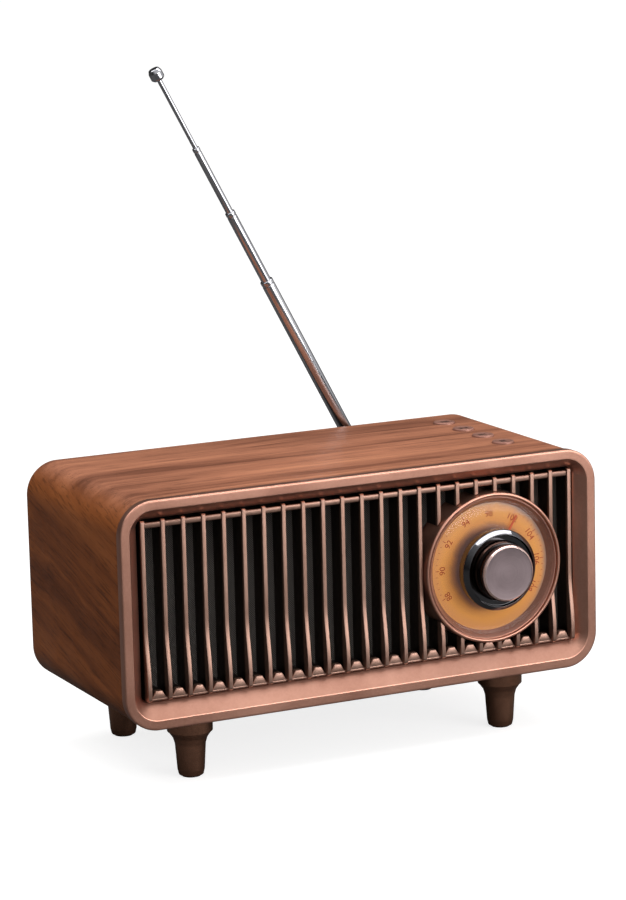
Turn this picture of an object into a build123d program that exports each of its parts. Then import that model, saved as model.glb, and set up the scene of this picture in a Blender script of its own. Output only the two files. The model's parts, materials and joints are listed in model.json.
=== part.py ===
from build123d import *
from math import cos, radians, sin
import os

# Retro portable radio: a walnut cabinet with a copper front frame, a finned grille, a round
# tuning dial, four top buttons, turned feet and a telescopic antenna on the back.
# Millimetres. +X is the listener's right, -Y faces the listener, +Z is up.
# z = 0 is the surface the feet stand on, and the origin is centred under the whole radio.

os.makedirs("parts", exist_ok=True)

# ---------------------------------------------------------------- driving sizes

# cabinet
cab_width = 210.0
cab_height = 91.0
cab_depth = 100.0
corner_radius = 14.0
wood_wall = 4.4
wood_inset = 0.5
wood_back_round = 3.0
inner_radius_least = 1.0
foot_height = 26.0

# front frame: a tray with sloping inner walls
flange_depth = 4.0
rim_width = 3.9
rim_round = 1.2
tray_depth = 4.5
spigot_depth = 12.0
throat_side = 8.5
throat_top = 7.9
throat_bottom = 10.5
throat_radius = 3.0
spigot_gap = 0.1

# grille
fin_count = 23
fin_side_gap = 2.2
fin_thickness = 1.6
fin_front = 2.9
fin_front_low = 0.6
fin_bend_top = 40.0
fin_bend_low = 16.0
fin_bend_pull = 0.45
fin_foot_bevel = 1.2
fin_top_gap = 0.5
fin_foot_gap = 0.9
rail_height = 1.9
rail_front = 3.5
rail_drop = 0.3
comb_front = 2.0
comb_height = 0.9
tooth_height = 3.0
tooth_foot = 6.6
tooth_tip = 2.8

# cloth and baffle
cloth_thickness = 0.8
baffle_thickness = 3.0
baffle_gap = 0.5
speaker_hole_margin = 1.0

# loudspeaker
speaker_inset = 65.0
speaker_radius = 34.0
speaker_flange = 1.2
speaker_screw_inset = 1.9
speaker_screw_head = 1.7
speaker_screw_head_height = 1.1
speaker_depth = 24.0
cone_radius = 28.5
cone_depth = 11.0
cone_thickness = 0.8
surround_width = 2.6
surround_front = 0.8
dust_cap_rise = 1.0
magnet_radius = 19.0
magnet_depth = 9.0
magnet_plate = 2.0
magnet_plate_inset = 1.0
voice_coil_radius = 9.5
coil_gap = 0.4
surround_lap = 0.4
speaker_screw_end = 0.4
basket_wall = 1.2
basket_windows = 4
window_reach = 6.0
window_span = 22.0

# tuning dial
dial_inset = 47.4
dial_drop = 0.7
bezel_radius = 30.8
bezel_rim = 1.9
bezel_bevel = 0.7
bezel_slope_depth = 4.0
scale_radius = 26.5
scale_thickness = 1.2
lens_thickness = 0.9
lens_front = 1.2
light_guide_thickness = 1.8
lamp_height = 0.8
lamp_length = 3.5
lamp_width = 2.8
lamp_count = 6
lamp_ring = 19.0
board_thickness = 1.6
shaft_radius = 3.0
bush_radius = 3.5
encoder_size = 13.0
encoder_corner = 0.8
encoder_depth = 7.0
encoder_floor = 1.5
nut_width = 10.0
nut_thickness = 2.0
bush_stand = 0.8

# tuning knob and pointer
skirt_radius = 16.8
skirt_front = 4.0
skirt_thickness = 4.7
ring_bevel = 1.4
grip_radius = 11.8
grip_front = 10.4
grip_cover = 1.4
shaft_end_gap = 0.3
knob_front = 12.0
cap_radius = 11.3
cap_bevel = 0.7
hub_radius = 8.0
hub_clearance = 0.6
needle_collar = 1.2
needle_stand = 0.4
needle_angle = 31.0
needle_reach = 23.3
needle_width = 1.2
needle_thickness = 0.5

# top buttons
button_inset = 26.0
button_row_shift = -0.65
button_pitch = 17.0
button_count = 4
button_radius = 4.5
button_bevel = 0.4
button_hole_gap = 0.15
button_rise = 0.8
button_travel = 0.8
button_flange = 0.9
button_flange_radius = 5.6
button_flange_gap = 0.15
switch_size = 6.0
switch_height = 3.5
switch_play = 0.2
button_board_margin = 1.0
button_board_overhang = 2.0
button_board_corner = 1.5
hanger_width = 4.6
hanger_screw_end = 0.5

# feet
foot_inset = 35.0
foot_front = 19.5
foot_back_inset = 12.0
foot_top_radius = 9.2
foot_collar = 8.2
foot_collar_step = 0.5
foot_flare = 3.6
foot_neck_radius = 6.4
foot_tip_radius = 5.4
foot_tip_bevel = 1.5
foot_pad_radius = 3.8
foot_pad_height = 1.5
foot_pad_stand = 0.5
foot_screw_radius = 2.0
foot_screw_head = 3.4
foot_screw_head_height = 2.2
foot_screw_grip = 12.0
foot_screw_end = 0.5

# back cover
back_recess = 1.0
back_thickness = 2.5
back_gap = 0.3
block_size = 12.0
block_depth = 12.0
cover_screw_inset = 6.5
screw_radius = 1.4
screw_head_radius = 2.8
screw_head_height = 1.3
screw_length = 9.0

# main board with its sockets
main_board_width = 76.0
main_board_depth = 40.0
main_board_side = 16.5
main_board_rise = 9.0
main_board_corner = 1.0
main_board_gap = 0.6
post_width = 5.6
post_inset = 5.0
post_back_inset = 13.0
small_screw_radius = 1.1
small_screw_head = 2.0
small_screw_head_height = 1.2
board_screw_grip = 6.0
socket_recess = 0.3
socket_gap = 0.2
usb_place = 10.0
usb_width = 9.0
usb_height = 3.3
usb_length = 7.4
usb_corner = 1.3
usb_wall = 0.4
usb_floor = 0.8
usb_tongue = 0.7
usb_tongue_inset = 1.2
aux_place = 26.0
aux_bore_radius = 1.8
aux_collar_wall = 0.8
aux_width = 6.6
aux_height = 6.0
aux_length = 13.0
card_place = 44.0
card_width = 14.0
card_height = 1.9
card_length = 14.5
card_side_wall = 1.3
card_wall = 0.5
card_floor = 1.5
power_place = 62.0
power_width = 9.6
power_height = 4.6
power_depth = 5.0
power_travel = 4.0
slider_width = 3.2
slider_neck = 2.0
slider_depth = 1.8
slider_shoulder = 0.4
slider_play = 0.1
slider_stand = 1.6

# battery
cell_radius = 9.2
cell_length = 65.0
cell_bevel = 0.6
cell_inset = 46.5
cell_back_inset = 38.0
contact_radius = 2.8
contact_height = 1.5
holder_wall = 2.0
holder_corner = 1.0
holder_height = 12.0

# antenna: a swivel on the back with a folding elbow and four telescoping sections
antenna_inset = 47.6
antenna_rise = 64.0
antenna_lean = 27.9
antenna_behind = 6.5
mount_radius = 7.5
mount_bevel = 0.5
mount_stand = 1.0
mount_boss_radius = 4.5
mount_boss_end = 0.4
mount_nut_width = 13.0
mount_nut_thickness = 2.0
pivot_radius = 2.5
retainer_radius = 4.0
retainer_thickness = 1.0
swivel_radius = 6.0
swivel_thickness = 1.9
swivel_gap = 0.1
retainer_gap = 0.2
ear_thickness = 1.6
ear_radius = 3.2
tongue_width = 2.6
elbow_length = 6.0
elbow_end_flat = 0.25
base_reach = 102.6
tube_radii = (2.8, 2.15, 1.6, 1.0)
tube_wall = 0.35
tube_exposed = (33.9, 31.2, 32.6)
tube_inside = 58.0
mouth_length = 1.6
collar_length = 3.0
ferrule_radius = 3.1
ferrule_length = 3.0
pin_radius = 1.2
tip_radius = 2.9
tip_length = 5.4
tip_low_bevel = 0.8
tip_high_bevel = 1.2
tip_high_length = 1.6

# clearances, each used wherever that kind of fit occurs
running_gap = 0.05
seat_gap = 0.3
hole_gap = 0.3

# ---------------------------------------------------------------- worked-out places

whole_depth = knob_front + cab_depth + antenna_behind + ear_radius
front_y = knob_front - whole_depth / 2
back_y = front_y + cab_depth
base_z = foot_height
top_z = base_z + cab_height
wood_width = cab_width - 2 * wood_inset
wood_low = base_z + wood_inset
wood_high = top_z - wood_inset
wood_radius = corner_radius - wood_inset
inner_width = wood_width - 2 * wood_wall
inner_low = wood_low + wood_wall
inner_high = wood_high - wood_wall
inner_radius = max(wood_radius - wood_wall, inner_radius_least)
half_inner = inner_width / 2
panel_radius = inner_radius - baffle_gap
fin_span = cab_width - 2 * (throat_side + fin_side_gap)
cloth_y = front_y + spigot_depth
baffle_y = cloth_y + cloth_thickness
cavity_y = baffle_y + baffle_thickness
cover_out_y = back_y - back_recess
cover_in_y = cover_out_y - back_thickness
speaker_x = speaker_inset - cab_width / 2
speaker_z = (inner_low + inner_high) / 2
dial_x = cab_width / 2 - dial_inset
dial_z = (base_z + throat_bottom + top_z - throat_top) / 2 - dial_drop
fin_pitch = fin_span / (fin_count - 1)
fin_xs = [fin_pitch * k - fin_span / 2 for k in range(fin_count)]
button_x = cab_width / 2 - button_inset
button_mid_y = (cavity_y + cover_in_y) / 2 + button_row_shift
button_ys = [button_mid_y + button_pitch * (k - (button_count - 1) / 2) for k in range(button_count)]
button_spots = [(button_x, y) for y in button_ys]
foot_x = cab_width / 2 - foot_inset
foot_corners = {
    "foot_front_left": (-foot_x, front_y + foot_front),
    "foot_front_right": (foot_x, front_y + foot_front),
    "foot_rear_left": (-foot_x, back_y - foot_back_inset),
    "foot_rear_right": (foot_x, back_y - foot_back_inset),
}
board_left = main_board_side - half_inner
board_low = inner_low + main_board_rise
board_top = board_low + board_thickness
antenna_x = cab_width / 2 - antenna_inset

shaft_hole = hub_radius + hub_clearance
dial_plane = Plane(origin=(dial_x, front_y, dial_z), x_dir=(1, 0, 0), z_dir=(0, 0, 1))
dial_axis = Axis((dial_x, front_y, dial_z), (0, 1, 0))

lean = radians(antenna_lean)
antenna_y = back_y + antenna_behind
antenna_pivot = Vector(antenna_x, antenna_y, base_z + antenna_rise)
antenna_plane = Plane(origin=antenna_pivot, x_dir=(cos(lean), 0, sin(lean)), z_dir=(0, -1, 0))
rod_axis = Axis(antenna_pivot, antenna_plane.y_dir)


def facing(y):
    """Plane across the radio at depth y, seen from the front: local x is +X, local y is +Z."""
    return Plane.XZ.offset(-y)


def outline(width, low, high, radius):
    """Rounded rectangle between two heights, centred on the radio's middle plane."""
    with Locations((0, (low + high) / 2)):
        RectangleRounded(width, high - low, radius)


def turned(points, plane, axis):
    """Solid of revolution from a closed profile of (radius, height) points."""
    with BuildPart() as body:
        with BuildSketch(plane):
            with BuildLine():
                Polyline(*points, close=True)
            make_face()
        revolve(axis=axis)
    return body.part


def washer(outer, low, high):
    """Flat ring of the tuning dial between two depths, with the hole that the knob's hub runs in."""
    section = [(shaft_hole, low), (outer, low), (outer, high), (shaft_hole, high)]
    return turned(section, dial_plane, dial_axis)


def screws(plane, points, shank, length, head, height):
    """Group of equal hexagon screws: heads sit on a plane, and shanks run in against its normal."""
    with BuildPart() as group:
        with BuildSketch(plane):
            with Locations(*points):
                Circle(shank)
        extrude(amount=-length)
        with BuildSketch(plane):
            with Locations(*points):
                RegularPolygon(head, 6)
        extrude(amount=height)
    return group.part


def posts(low, high, spots, width):
    """Group of equal hexagon posts between two heights, each with a hole for a small screw."""
    with BuildPart() as group:
        with BuildSketch(Plane.XY.offset(low)):
            with Locations(*spots):
                RegularPolygon(width / 2, 6, major_radius=False)
                Circle(small_screw_radius + running_gap, mode=Mode.SUBTRACT)
        extrude(amount=high - low)
    return group.part


def save(part, name):
    """Label a finished piece and write its STEP file."""
    part.label = name
    export_step(part, f"parts/{name}.step")


# ---------------------------------------------------------------- cabinet

with BuildPart() as cabinet:
    with BuildSketch(facing(front_y + flange_depth)):
        outline(wood_width, wood_low, wood_high, wood_radius)
    extrude(amount=-(cab_depth - flange_depth))
    fillet(cabinet.faces().sort_by(Axis.Y)[-1].edges(), wood_back_round)
    with BuildSketch(facing(front_y + flange_depth)):
        outline(inner_width, inner_low, inner_high, inner_radius)
    extrude(amount=-cab_depth, mode=Mode.SUBTRACT)
    with BuildSketch(Plane.XY.offset(wood_high)):
        with Locations(*button_spots):
            Circle(button_radius + button_hole_gap)
    extrude(amount=-wood_wall, mode=Mode.SUBTRACT)
    with BuildSketch(Plane.XY.offset(wood_low)):
        with Locations(*foot_corners.values()):
            Circle(foot_screw_radius + hole_gap)
    extrude(amount=wood_wall, mode=Mode.SUBTRACT)
save(cabinet.part, "cabinet_shell")

# ---------------------------------------------------------------- front frame

throat_width = cab_width - 2 * throat_side
throat_low = base_z + throat_bottom
throat_high = top_z - throat_top

with BuildPart() as frame:
    with BuildSketch(facing(front_y)):
        outline(cab_width, base_z, top_z, corner_radius)
    extrude(amount=-flange_depth)
    fillet(frame.faces().sort_by(Axis.Y)[0].edges(), rim_round)
    with BuildSketch(facing(front_y + flange_depth)):
        outline(inner_width - 2 * spigot_gap, inner_low + spigot_gap, inner_high - spigot_gap, inner_radius)
    extrude(amount=-(spigot_depth - flange_depth))
    with BuildSketch(facing(front_y)):
        outline(cab_width - 2 * rim_width, base_z + rim_width, top_z - rim_width, corner_radius - rim_width)
    with BuildSketch(facing(front_y + tray_depth)):
        outline(throat_width, throat_low, throat_high, throat_radius)
    loft(ruled=True, mode=Mode.SUBTRACT)
    with BuildSketch(facing(front_y + tray_depth)):
        outline(throat_width, throat_low, throat_high, throat_radius)
    extrude(amount=-spigot_depth, mode=Mode.SUBTRACT)
save(frame.part, "front_frame")

# ---------------------------------------------------------------- grille of S-curved fins

fin_top = throat_high - fin_top_gap
fin_foot = throat_low + fin_foot_gap
bend_top = base_z + fin_bend_top
bend_low = base_z + fin_bend_low
bend_pull = (bend_top - bend_low) * fin_bend_pull

with BuildPart() as fin:
    with BuildSketch(Plane.YZ.offset(-fin_thickness / 2)):
        with BuildLine():
            upper = front_y + fin_front
            lower = front_y + fin_front_low
            Polyline((upper, bend_top), (upper, fin_top), (cloth_y, fin_top), (cloth_y, fin_foot))
            Polyline(
                (cloth_y, fin_foot),
                (lower + fin_foot_bevel, fin_foot),
                (lower, fin_foot + fin_foot_bevel),
                (lower, bend_low),
            )
            Bezier(
                (lower, bend_low),
                (lower, bend_low + bend_pull),
                (upper, bend_top - bend_pull),
                (upper, bend_top),
            )
        make_face()
    extrude(amount=fin_thickness)

rail_low = fin_top - rail_height - rail_drop
comb_top = fin_foot + comb_height
tooth_top = comb_top + tooth_height
with BuildPart() as grille:
    with Locations(*[(x, 0, 0) for x in fin_xs]):
        add(fin.part)
    with BuildSketch(facing(front_y + rail_front)):
        with Locations((0, rail_low + rail_height / 2)):
            Rectangle(fin_span, rail_height)
    extrude(amount=-(spigot_depth - rail_front))
    with BuildSketch(facing(front_y + comb_front)):
        with Locations((0, fin_foot + comb_height / 2)):
            Rectangle(fin_span, comb_height)
        with Locations(*[(x + fin_pitch / 2, 0) for x in fin_xs[:-1]]):
            Polygon(
                (-tooth_foot / 2, comb_top),
                (tooth_foot / 2, comb_top),
                (tooth_tip / 2, tooth_top),
                (-tooth_tip / 2, tooth_top),
                align=None,
            )
    extrude(amount=-(spigot_depth - comb_front))
    with BuildSketch(facing(front_y)):
        with Locations((dial_x, dial_z)):
            Circle(bezel_radius + hole_gap)
    extrude(amount=-spigot_depth, mode=Mode.SUBTRACT)
save(grille.part, "grille")

# ---------------------------------------------------------------- speaker cloth and baffle

speaker_screw_ring = speaker_radius - speaker_screw_inset
speaker_screw_points = [
    (speaker_x + speaker_screw_ring * cos(radians(a)), speaker_z + speaker_screw_ring * sin(radians(a)))
    for a in (45, 135, 225, 315)
]

with BuildPart() as cloth:
    with BuildSketch(facing(cloth_y)):
        outline(inner_width - 2 * baffle_gap, inner_low + baffle_gap, inner_high - baffle_gap, panel_radius)
        with Locations((dial_x, dial_z)):
            Circle(bezel_radius + hole_gap, mode=Mode.SUBTRACT)
    extrude(amount=-cloth_thickness)
save(cloth.part, "speaker_cloth")

with BuildPart() as baffle:
    with BuildSketch(facing(baffle_y)):
        outline(inner_width - 2 * baffle_gap, inner_low + baffle_gap, inner_high - baffle_gap, panel_radius)
        with Locations((speaker_x, speaker_z)):
            Circle(cone_radius + speaker_hole_margin, mode=Mode.SUBTRACT)
        with Locations((dial_x, dial_z)):
            Circle(bush_radius + hole_gap, mode=Mode.SUBTRACT)
        with Locations(*speaker_screw_points):
            Circle(small_screw_radius + running_gap, mode=Mode.SUBTRACT)
    extrude(amount=-baffle_thickness)
save(baffle.part, "front_baffle")

# ---------------------------------------------------------------- loudspeaker

speaker_plane = Plane(origin=(speaker_x, cavity_y, speaker_z), x_dir=(1, 0, 0), z_dir=(0, 0, 1))
speaker_axis = Axis((speaker_x, cavity_y, speaker_z), (0, 1, 0))
basket_end = speaker_depth - magnet_depth
basket_floor = basket_end - basket_wall
cone_rim = cone_radius + surround_lap
cone_seat = cone_rim + running_gap
basket_rim = cone_seat + basket_wall
coil_hole = voice_coil_radius + 2 * coil_gap
window_ring = (magnet_radius + cone_seat) / 2

basket = turned(
    [
        (cone_seat, 0),
        (speaker_radius, 0),
        (speaker_radius, speaker_flange),
        (basket_rim, speaker_flange),
        (basket_rim, basket_end),
        (coil_hole, basket_end),
        (coil_hole, basket_floor),
        (cone_seat, basket_floor),
    ],
    speaker_plane,
    speaker_axis,
)
with BuildPart() as speaker_basket:
    add(basket)
    with BuildSketch(facing(cavity_y + basket_floor)):
        with Locations((speaker_x, speaker_z)):
            with PolarLocations(window_ring, basket_windows, 45):
                Rectangle(window_reach, window_span)
    extrude(amount=-basket_wall, mode=Mode.SUBTRACT)
    with BuildSketch(facing(cavity_y)):
        with Locations(*speaker_screw_points):
            Circle(small_screw_radius + running_gap)
    extrude(amount=-speaker_flange, mode=Mode.SUBTRACT)
save(speaker_basket.part, "speaker_basket")

cone_back = cone_depth + cone_thickness
cap_front = cone_depth - dust_cap_rise
surround_back = surround_front + cone_thickness
surround_radius = cone_radius - surround_width
speaker_cone = turned(
    [
        (0, cap_front),
        (voice_coil_radius, cap_front),
        (voice_coil_radius, cone_depth),
        (surround_radius, surround_front),
        (cone_rim, surround_front),
        (cone_rim, surround_back),
        (surround_radius, surround_back),
        (voice_coil_radius, cone_back),
        (0, cone_back),
    ],
    speaker_plane,
    speaker_axis,
)
save(speaker_cone, "speaker_cone")

plate_radius = magnet_radius - magnet_plate_inset
speaker_magnet = turned(
    [
        (0, basket_end),
        (plate_radius, basket_end),
        (plate_radius, basket_end + magnet_plate),
        (magnet_radius, basket_end + magnet_plate),
        (magnet_radius, speaker_depth - magnet_plate),
        (plate_radius, speaker_depth - magnet_plate),
        (plate_radius, speaker_depth),
        (0, speaker_depth),
    ],
    speaker_plane,
    speaker_axis,
)
save(speaker_magnet, "speaker_magnet")

speaker_screws = screws(
    Plane(origin=(0, cavity_y + speaker_flange, 0), x_dir=(-1, 0, 0), z_dir=(0, 1, 0)),
    [(-x, z) for x, z in speaker_screw_points],
    small_screw_radius,
    speaker_flange + baffle_thickness - speaker_screw_end,
    speaker_screw_head,
    speaker_screw_head_height,
)
save(speaker_screws, "speaker_screws")

# ---------------------------------------------------------------- tuning dial

bezel_inner = scale_radius + running_gap
bezel_mouth = bezel_radius - bezel_rim
bezel_back = spigot_depth + cloth_thickness
wall_slope = (bezel_mouth - bezel_inner) / bezel_slope_depth
lens_back = lens_front + lens_thickness
lens_radius = bezel_mouth - wall_slope * lens_back - running_gap
scale_back = bezel_slope_depth + scale_thickness
guide_back = scale_back + light_guide_thickness
lamps_back = guide_back + lamp_height

dial_bezel = turned(
    [
        (bezel_mouth, 0),
        (bezel_inner, bezel_slope_depth),
        (bezel_inner, bezel_back),
        (bezel_radius, bezel_back),
        (bezel_radius, bezel_bevel),
        (bezel_radius - bezel_bevel, 0),
    ],
    dial_plane,
    dial_axis,
)
save(dial_bezel, "dial_bezel")

save(washer(lens_radius, lens_front, lens_back), "dial_lens")
save(washer(scale_radius, bezel_slope_depth, scale_back), "dial_scale")
save(washer(scale_radius, scale_back, guide_back), "dial_light_guide")
save(washer(scale_radius, lamps_back, lamps_back + board_thickness), "dial_light_board")

with BuildPart() as lamps:
    with BuildSketch(facing(front_y + lamps_back)):
        with Locations((dial_x, dial_z)):
            with PolarLocations(lamp_ring, lamp_count):
                Rectangle(lamp_length, lamp_width)
    extrude(amount=lamp_height)
save(lamps.part, "dial_lamps")

bush_y = front_y + bezel_back - nut_thickness - bush_stand
bore_end = cavity_y + encoder_depth - encoder_floor
with BuildPart() as encoder:
    with BuildSketch(facing(cavity_y)):
        with Locations((dial_x, dial_z)):
            RectangleRounded(encoder_size, encoder_size, encoder_corner)
    extrude(amount=-encoder_depth)
    with BuildSketch(facing(bush_y)):
        with Locations((dial_x, dial_z)):
            Circle(bush_radius)
    extrude(amount=-(cavity_y - bush_y))
    with BuildSketch(facing(bush_y)):
        with Locations((dial_x, dial_z)):
            Circle(shaft_radius + running_gap)
    extrude(amount=-(bore_end - bush_y), mode=Mode.SUBTRACT)
save(encoder.part, "tuning_encoder")

with BuildPart() as encoder_nut:
    with BuildSketch(facing(baffle_y)):
        with Locations((dial_x, dial_z)):
            RegularPolygon(nut_width / 2, 6, major_radius=False)
            Circle(bush_radius + running_gap, mode=Mode.SUBTRACT)
    extrude(amount=nut_thickness)
save(encoder_nut.part, "encoder_nut")

# ---------------------------------------------------------------- tuning knob and pointer

shaft_end = bore_end - front_y - shaft_end_gap
shaft_front = grip_cover - grip_front
skirt_rear = skirt_thickness - skirt_front
needle_front = lens_back + needle_stand
hub_end = needle_front + needle_thickness
bore = shaft_radius + running_gap

with BuildPart() as shaft:
    with BuildSketch(facing(front_y + shaft_end)):
        with Locations((dial_x, dial_z)):
            Circle(shaft_radius)
    extrude(amount=shaft_end - shaft_front)
save(shaft.part, "tuning_shaft")

knob_skirt = turned(
    [
        (bore, -skirt_front),
        (bore, hub_end),
        (hub_radius, hub_end),
        (hub_radius, skirt_rear),
        (skirt_radius - ring_bevel, skirt_rear),
        (skirt_radius, skirt_rear - ring_bevel),
        (skirt_radius, ring_bevel - skirt_front),
        (skirt_radius - ring_bevel, -skirt_front),
    ],
    dial_plane,
    dial_axis,
)
save(knob_skirt, "knob_skirt")

knob_grip = turned(
    [
        (bore, -skirt_front),
        (grip_radius, -skirt_front),
        (grip_radius, -grip_front),
        (0, -grip_front),
        (0, shaft_front),
        (bore, shaft_front),
    ],
    dial_plane,
    dial_axis,
)
save(knob_grip, "knob_grip")

knob_cap = turned(
    [
        (0, -grip_front),
        (cap_radius, -grip_front),
        (cap_radius, cap_bevel - knob_front),
        (cap_radius - cap_bevel, -knob_front),
        (0, -knob_front),
    ],
    dial_plane,
    dial_axis,
)
save(knob_cap, "knob_cap")

needle_turn = Plane(origin=(dial_x, front_y + hub_end, dial_z), x_dir=(1, 0, 0), z_dir=(0, -1, 0))
with BuildPart() as needle:
    with BuildSketch(needle_turn):
        Circle(hub_radius + needle_collar)
        turn = radians(needle_angle)
        with Locations((sin(turn) * needle_reach / 2, cos(turn) * needle_reach / 2)):
            Rectangle(needle_width, needle_reach, rotation=-needle_angle)
        Circle(hub_radius + running_gap, mode=Mode.SUBTRACT)
    extrude(amount=needle_thickness)
save(needle.part, "dial_pointer")

# ---------------------------------------------------------------- top buttons and their board

flange_top = inner_high - button_flange_gap
flange_low = flange_top - button_flange
switch_top = flange_low - button_travel - switch_play
switch_low = switch_top - switch_height
button_board_low = switch_low - board_thickness
button_names = ("mode_button", "previous_button", "play_button", "next_button")
for y, name in zip(button_ys, button_names):
    with BuildPart() as button:
        with BuildSketch(Plane.XY.offset(flange_low)):
            with Locations((button_x, y)):
                Circle(button_flange_radius)
        extrude(amount=button_flange)
        with BuildSketch(Plane.XY.offset(flange_top)):
            with Locations((button_x, y)):
                Circle(button_radius)
        extrude(amount=wood_high + button_rise - flange_top)
        chamfer(button.faces().sort_by(Axis.Z)[-1].edges(), button_bevel)
    save(button.part, name)

with BuildPart() as tact_switches:
    with BuildSketch(Plane.XY.offset(switch_low)):
        with Locations(*button_spots):
            Rectangle(switch_size, switch_size)
    extrude(amount=switch_height)
save(tact_switches.part, "tact_switches")

button_board_length = button_pitch * (button_count - 1) + 2 * (button_flange_radius + button_board_overhang)
hanger_points = [(button_x, button_mid_y - button_pitch), (button_x, button_mid_y + button_pitch)]
with BuildPart() as button_board:
    with BuildSketch(Plane.XY.offset(button_board_low)):
        with Locations((button_x, button_mid_y)):
            RectangleRounded(
                2 * (button_flange_radius + button_board_margin),
                button_board_length,
                button_board_corner,
            )
        with Locations(*hanger_points):
            Circle(small_screw_radius + running_gap, mode=Mode.SUBTRACT)
    extrude(amount=board_thickness)
save(button_board.part, "button_board")

save(posts(switch_low, inner_high, hanger_points, hanger_width), "button_board_posts")

button_screws = screws(
    Plane(origin=(0, 0, button_board_low), x_dir=(-1, 0, 0), z_dir=(0, 0, -1)),
    [(-x, y) for x, y in hanger_points],
    small_screw_radius,
    inner_high - button_board_low - hanger_screw_end,
    small_screw_head,
    small_screw_head_height,
)
save(button_screws, "button_board_screws")

# ---------------------------------------------------------------- feet

foot_low = foot_pad_stand
collar_low = wood_low - foot_collar
screw_in = wood_low - foot_screw_grip

for name, (x, y) in foot_corners.items():
    with BuildPart() as foot:
        with BuildSketch(Plane(origin=(x, y, 0), x_dir=(1, 0, 0), z_dir=(0, -1, 0))):
            with BuildLine():
                Polyline(
                    (0, foot_low),
                    (foot_tip_radius - foot_tip_bevel, foot_low),
                    (foot_tip_radius, foot_low + foot_tip_bevel),
                    (foot_neck_radius, collar_low - foot_flare),
                    (foot_top_radius - foot_collar_step, collar_low),
                    (foot_top_radius, collar_low),
                    (foot_top_radius, wood_low),
                    (0, wood_low),
                    close=True,
                )
            make_face()
        revolve(axis=Axis((x, y, 0), (0, 0, 1)))
        with BuildSketch(Plane.XY.offset(foot_low)):
            with Locations((x, y)):
                Circle(foot_pad_radius)
        extrude(amount=foot_pad_height - foot_pad_stand, mode=Mode.SUBTRACT)
        with BuildSketch(Plane.XY.offset(wood_low)):
            with Locations((x, y)):
                Circle(foot_screw_radius + running_gap)
        extrude(amount=-foot_screw_grip, mode=Mode.SUBTRACT)
    save(foot.part, name)

with BuildPart() as foot_pads:
    with BuildSketch(Plane.XY):
        with Locations(*foot_corners.values()):
            Circle(foot_pad_radius)
    extrude(amount=foot_pad_height)
save(foot_pads.part, "foot_pads")

foot_screws = screws(
    Plane.XY.offset(inner_low),
    list(foot_corners.values()),
    foot_screw_radius,
    inner_low - screw_in - foot_screw_end,
    foot_screw_head,
    foot_screw_head_height,
)
save(foot_screws, "foot_screws")

# ---------------------------------------------------------------- back cover

block_spots = [
    (sx * (half_inner - block_size / 2), z)
    for sx in (-1, 1)
    for z in (inner_low + block_size / 2, inner_high - block_size / 2)
]
cover_screw_points = [
    (sx * (half_inner - cover_screw_inset), z)
    for sx in (-1, 1)
    for z in (inner_low + cover_screw_inset, inner_high - cover_screw_inset)
]
with BuildSketch(facing(cover_in_y - block_depth)) as corner_squares:
    with Locations(*block_spots):
        Rectangle(block_size, block_size)
with BuildPart() as blocks:
    with BuildSketch(facing(cover_in_y - block_depth)):
        outline(inner_width, inner_low, inner_high, inner_radius)
        add(corner_squares.sketch_local, mode=Mode.INTERSECT)
        with Locations(*cover_screw_points):
            Circle(screw_radius + running_gap, mode=Mode.SUBTRACT)
    extrude(amount=-block_depth)
save(blocks.part, "corner_blocks")

usb_spot = (board_left + usb_place, board_top + usb_height / 2)
aux_spot = (board_left + aux_place, board_top + aux_height / 2)
card_spot = (board_left + card_place, board_top + card_height / 2)
power_x = board_left + power_place
power_start = power_x - power_travel / 2
window_width = slider_neck + power_travel + 2 * hole_gap
window_z = board_top + power_height / 2
cover_radius = inner_radius - back_gap
with BuildPart() as cover:
    with BuildSketch(facing(cover_in_y)):
        outline(inner_width - 2 * back_gap, inner_low + back_gap, inner_high - back_gap, cover_radius)
        with Locations(*cover_screw_points):
            Circle(screw_radius + hole_gap, mode=Mode.SUBTRACT)
        with Locations((antenna_x, antenna_pivot.Z)):
            Circle(mount_boss_radius + running_gap, mode=Mode.SUBTRACT)
        with Locations(usb_spot):
            RectangleRounded(
                usb_width + 2 * hole_gap,
                usb_height + 2 * hole_gap,
                usb_corner + hole_gap,
                mode=Mode.SUBTRACT,
            )
        with Locations(aux_spot):
            Circle(aux_bore_radius + aux_collar_wall + hole_gap, mode=Mode.SUBTRACT)
        with Locations(card_spot):
            Rectangle(card_width + 2 * hole_gap, card_height + 2 * hole_gap, mode=Mode.SUBTRACT)
        with Locations((power_x, window_z)):
            Rectangle(window_width, slider_neck + 2 * hole_gap, mode=Mode.SUBTRACT)
    extrude(amount=-back_thickness)
save(cover.part, "back_cover")

cover_out = Plane(origin=(0, cover_out_y, 0), x_dir=(-1, 0, 0), z_dir=(0, 1, 0))
cover_screws = screws(
    cover_out,
    [(-x, z) for x, z in cover_screw_points],
    screw_radius,
    screw_length,
    screw_head_radius,
    screw_head_height,
)
save(cover_screws, "back_cover_screws")

# ---------------------------------------------------------------- main board and its sockets

board_back = cover_in_y - main_board_gap
board_front = board_back - main_board_depth
post_points = [
    (x, y)
    for x in (board_left + post_inset, board_left + main_board_width - post_inset)
    for y in (board_front + post_back_inset, board_back - post_back_inset)
]

with BuildPart() as main_board:
    with BuildSketch(Plane.XY.offset(board_low)):
        with Locations((board_left + main_board_width / 2, (board_back + board_front) / 2)):
            RectangleRounded(main_board_width, main_board_depth, main_board_corner)
        with Locations(*post_points):
            Circle(small_screw_radius + running_gap, mode=Mode.SUBTRACT)
    extrude(amount=board_thickness)
save(main_board.part, "main_board")

save(posts(inner_low, board_low, post_points, post_width), "board_posts")

board_screws = screws(
    Plane.XY.offset(board_top),
    post_points,
    small_screw_radius,
    board_thickness + board_screw_grip,
    small_screw_head,
    small_screw_head_height,
)
save(board_screws, "board_screws")

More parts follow.
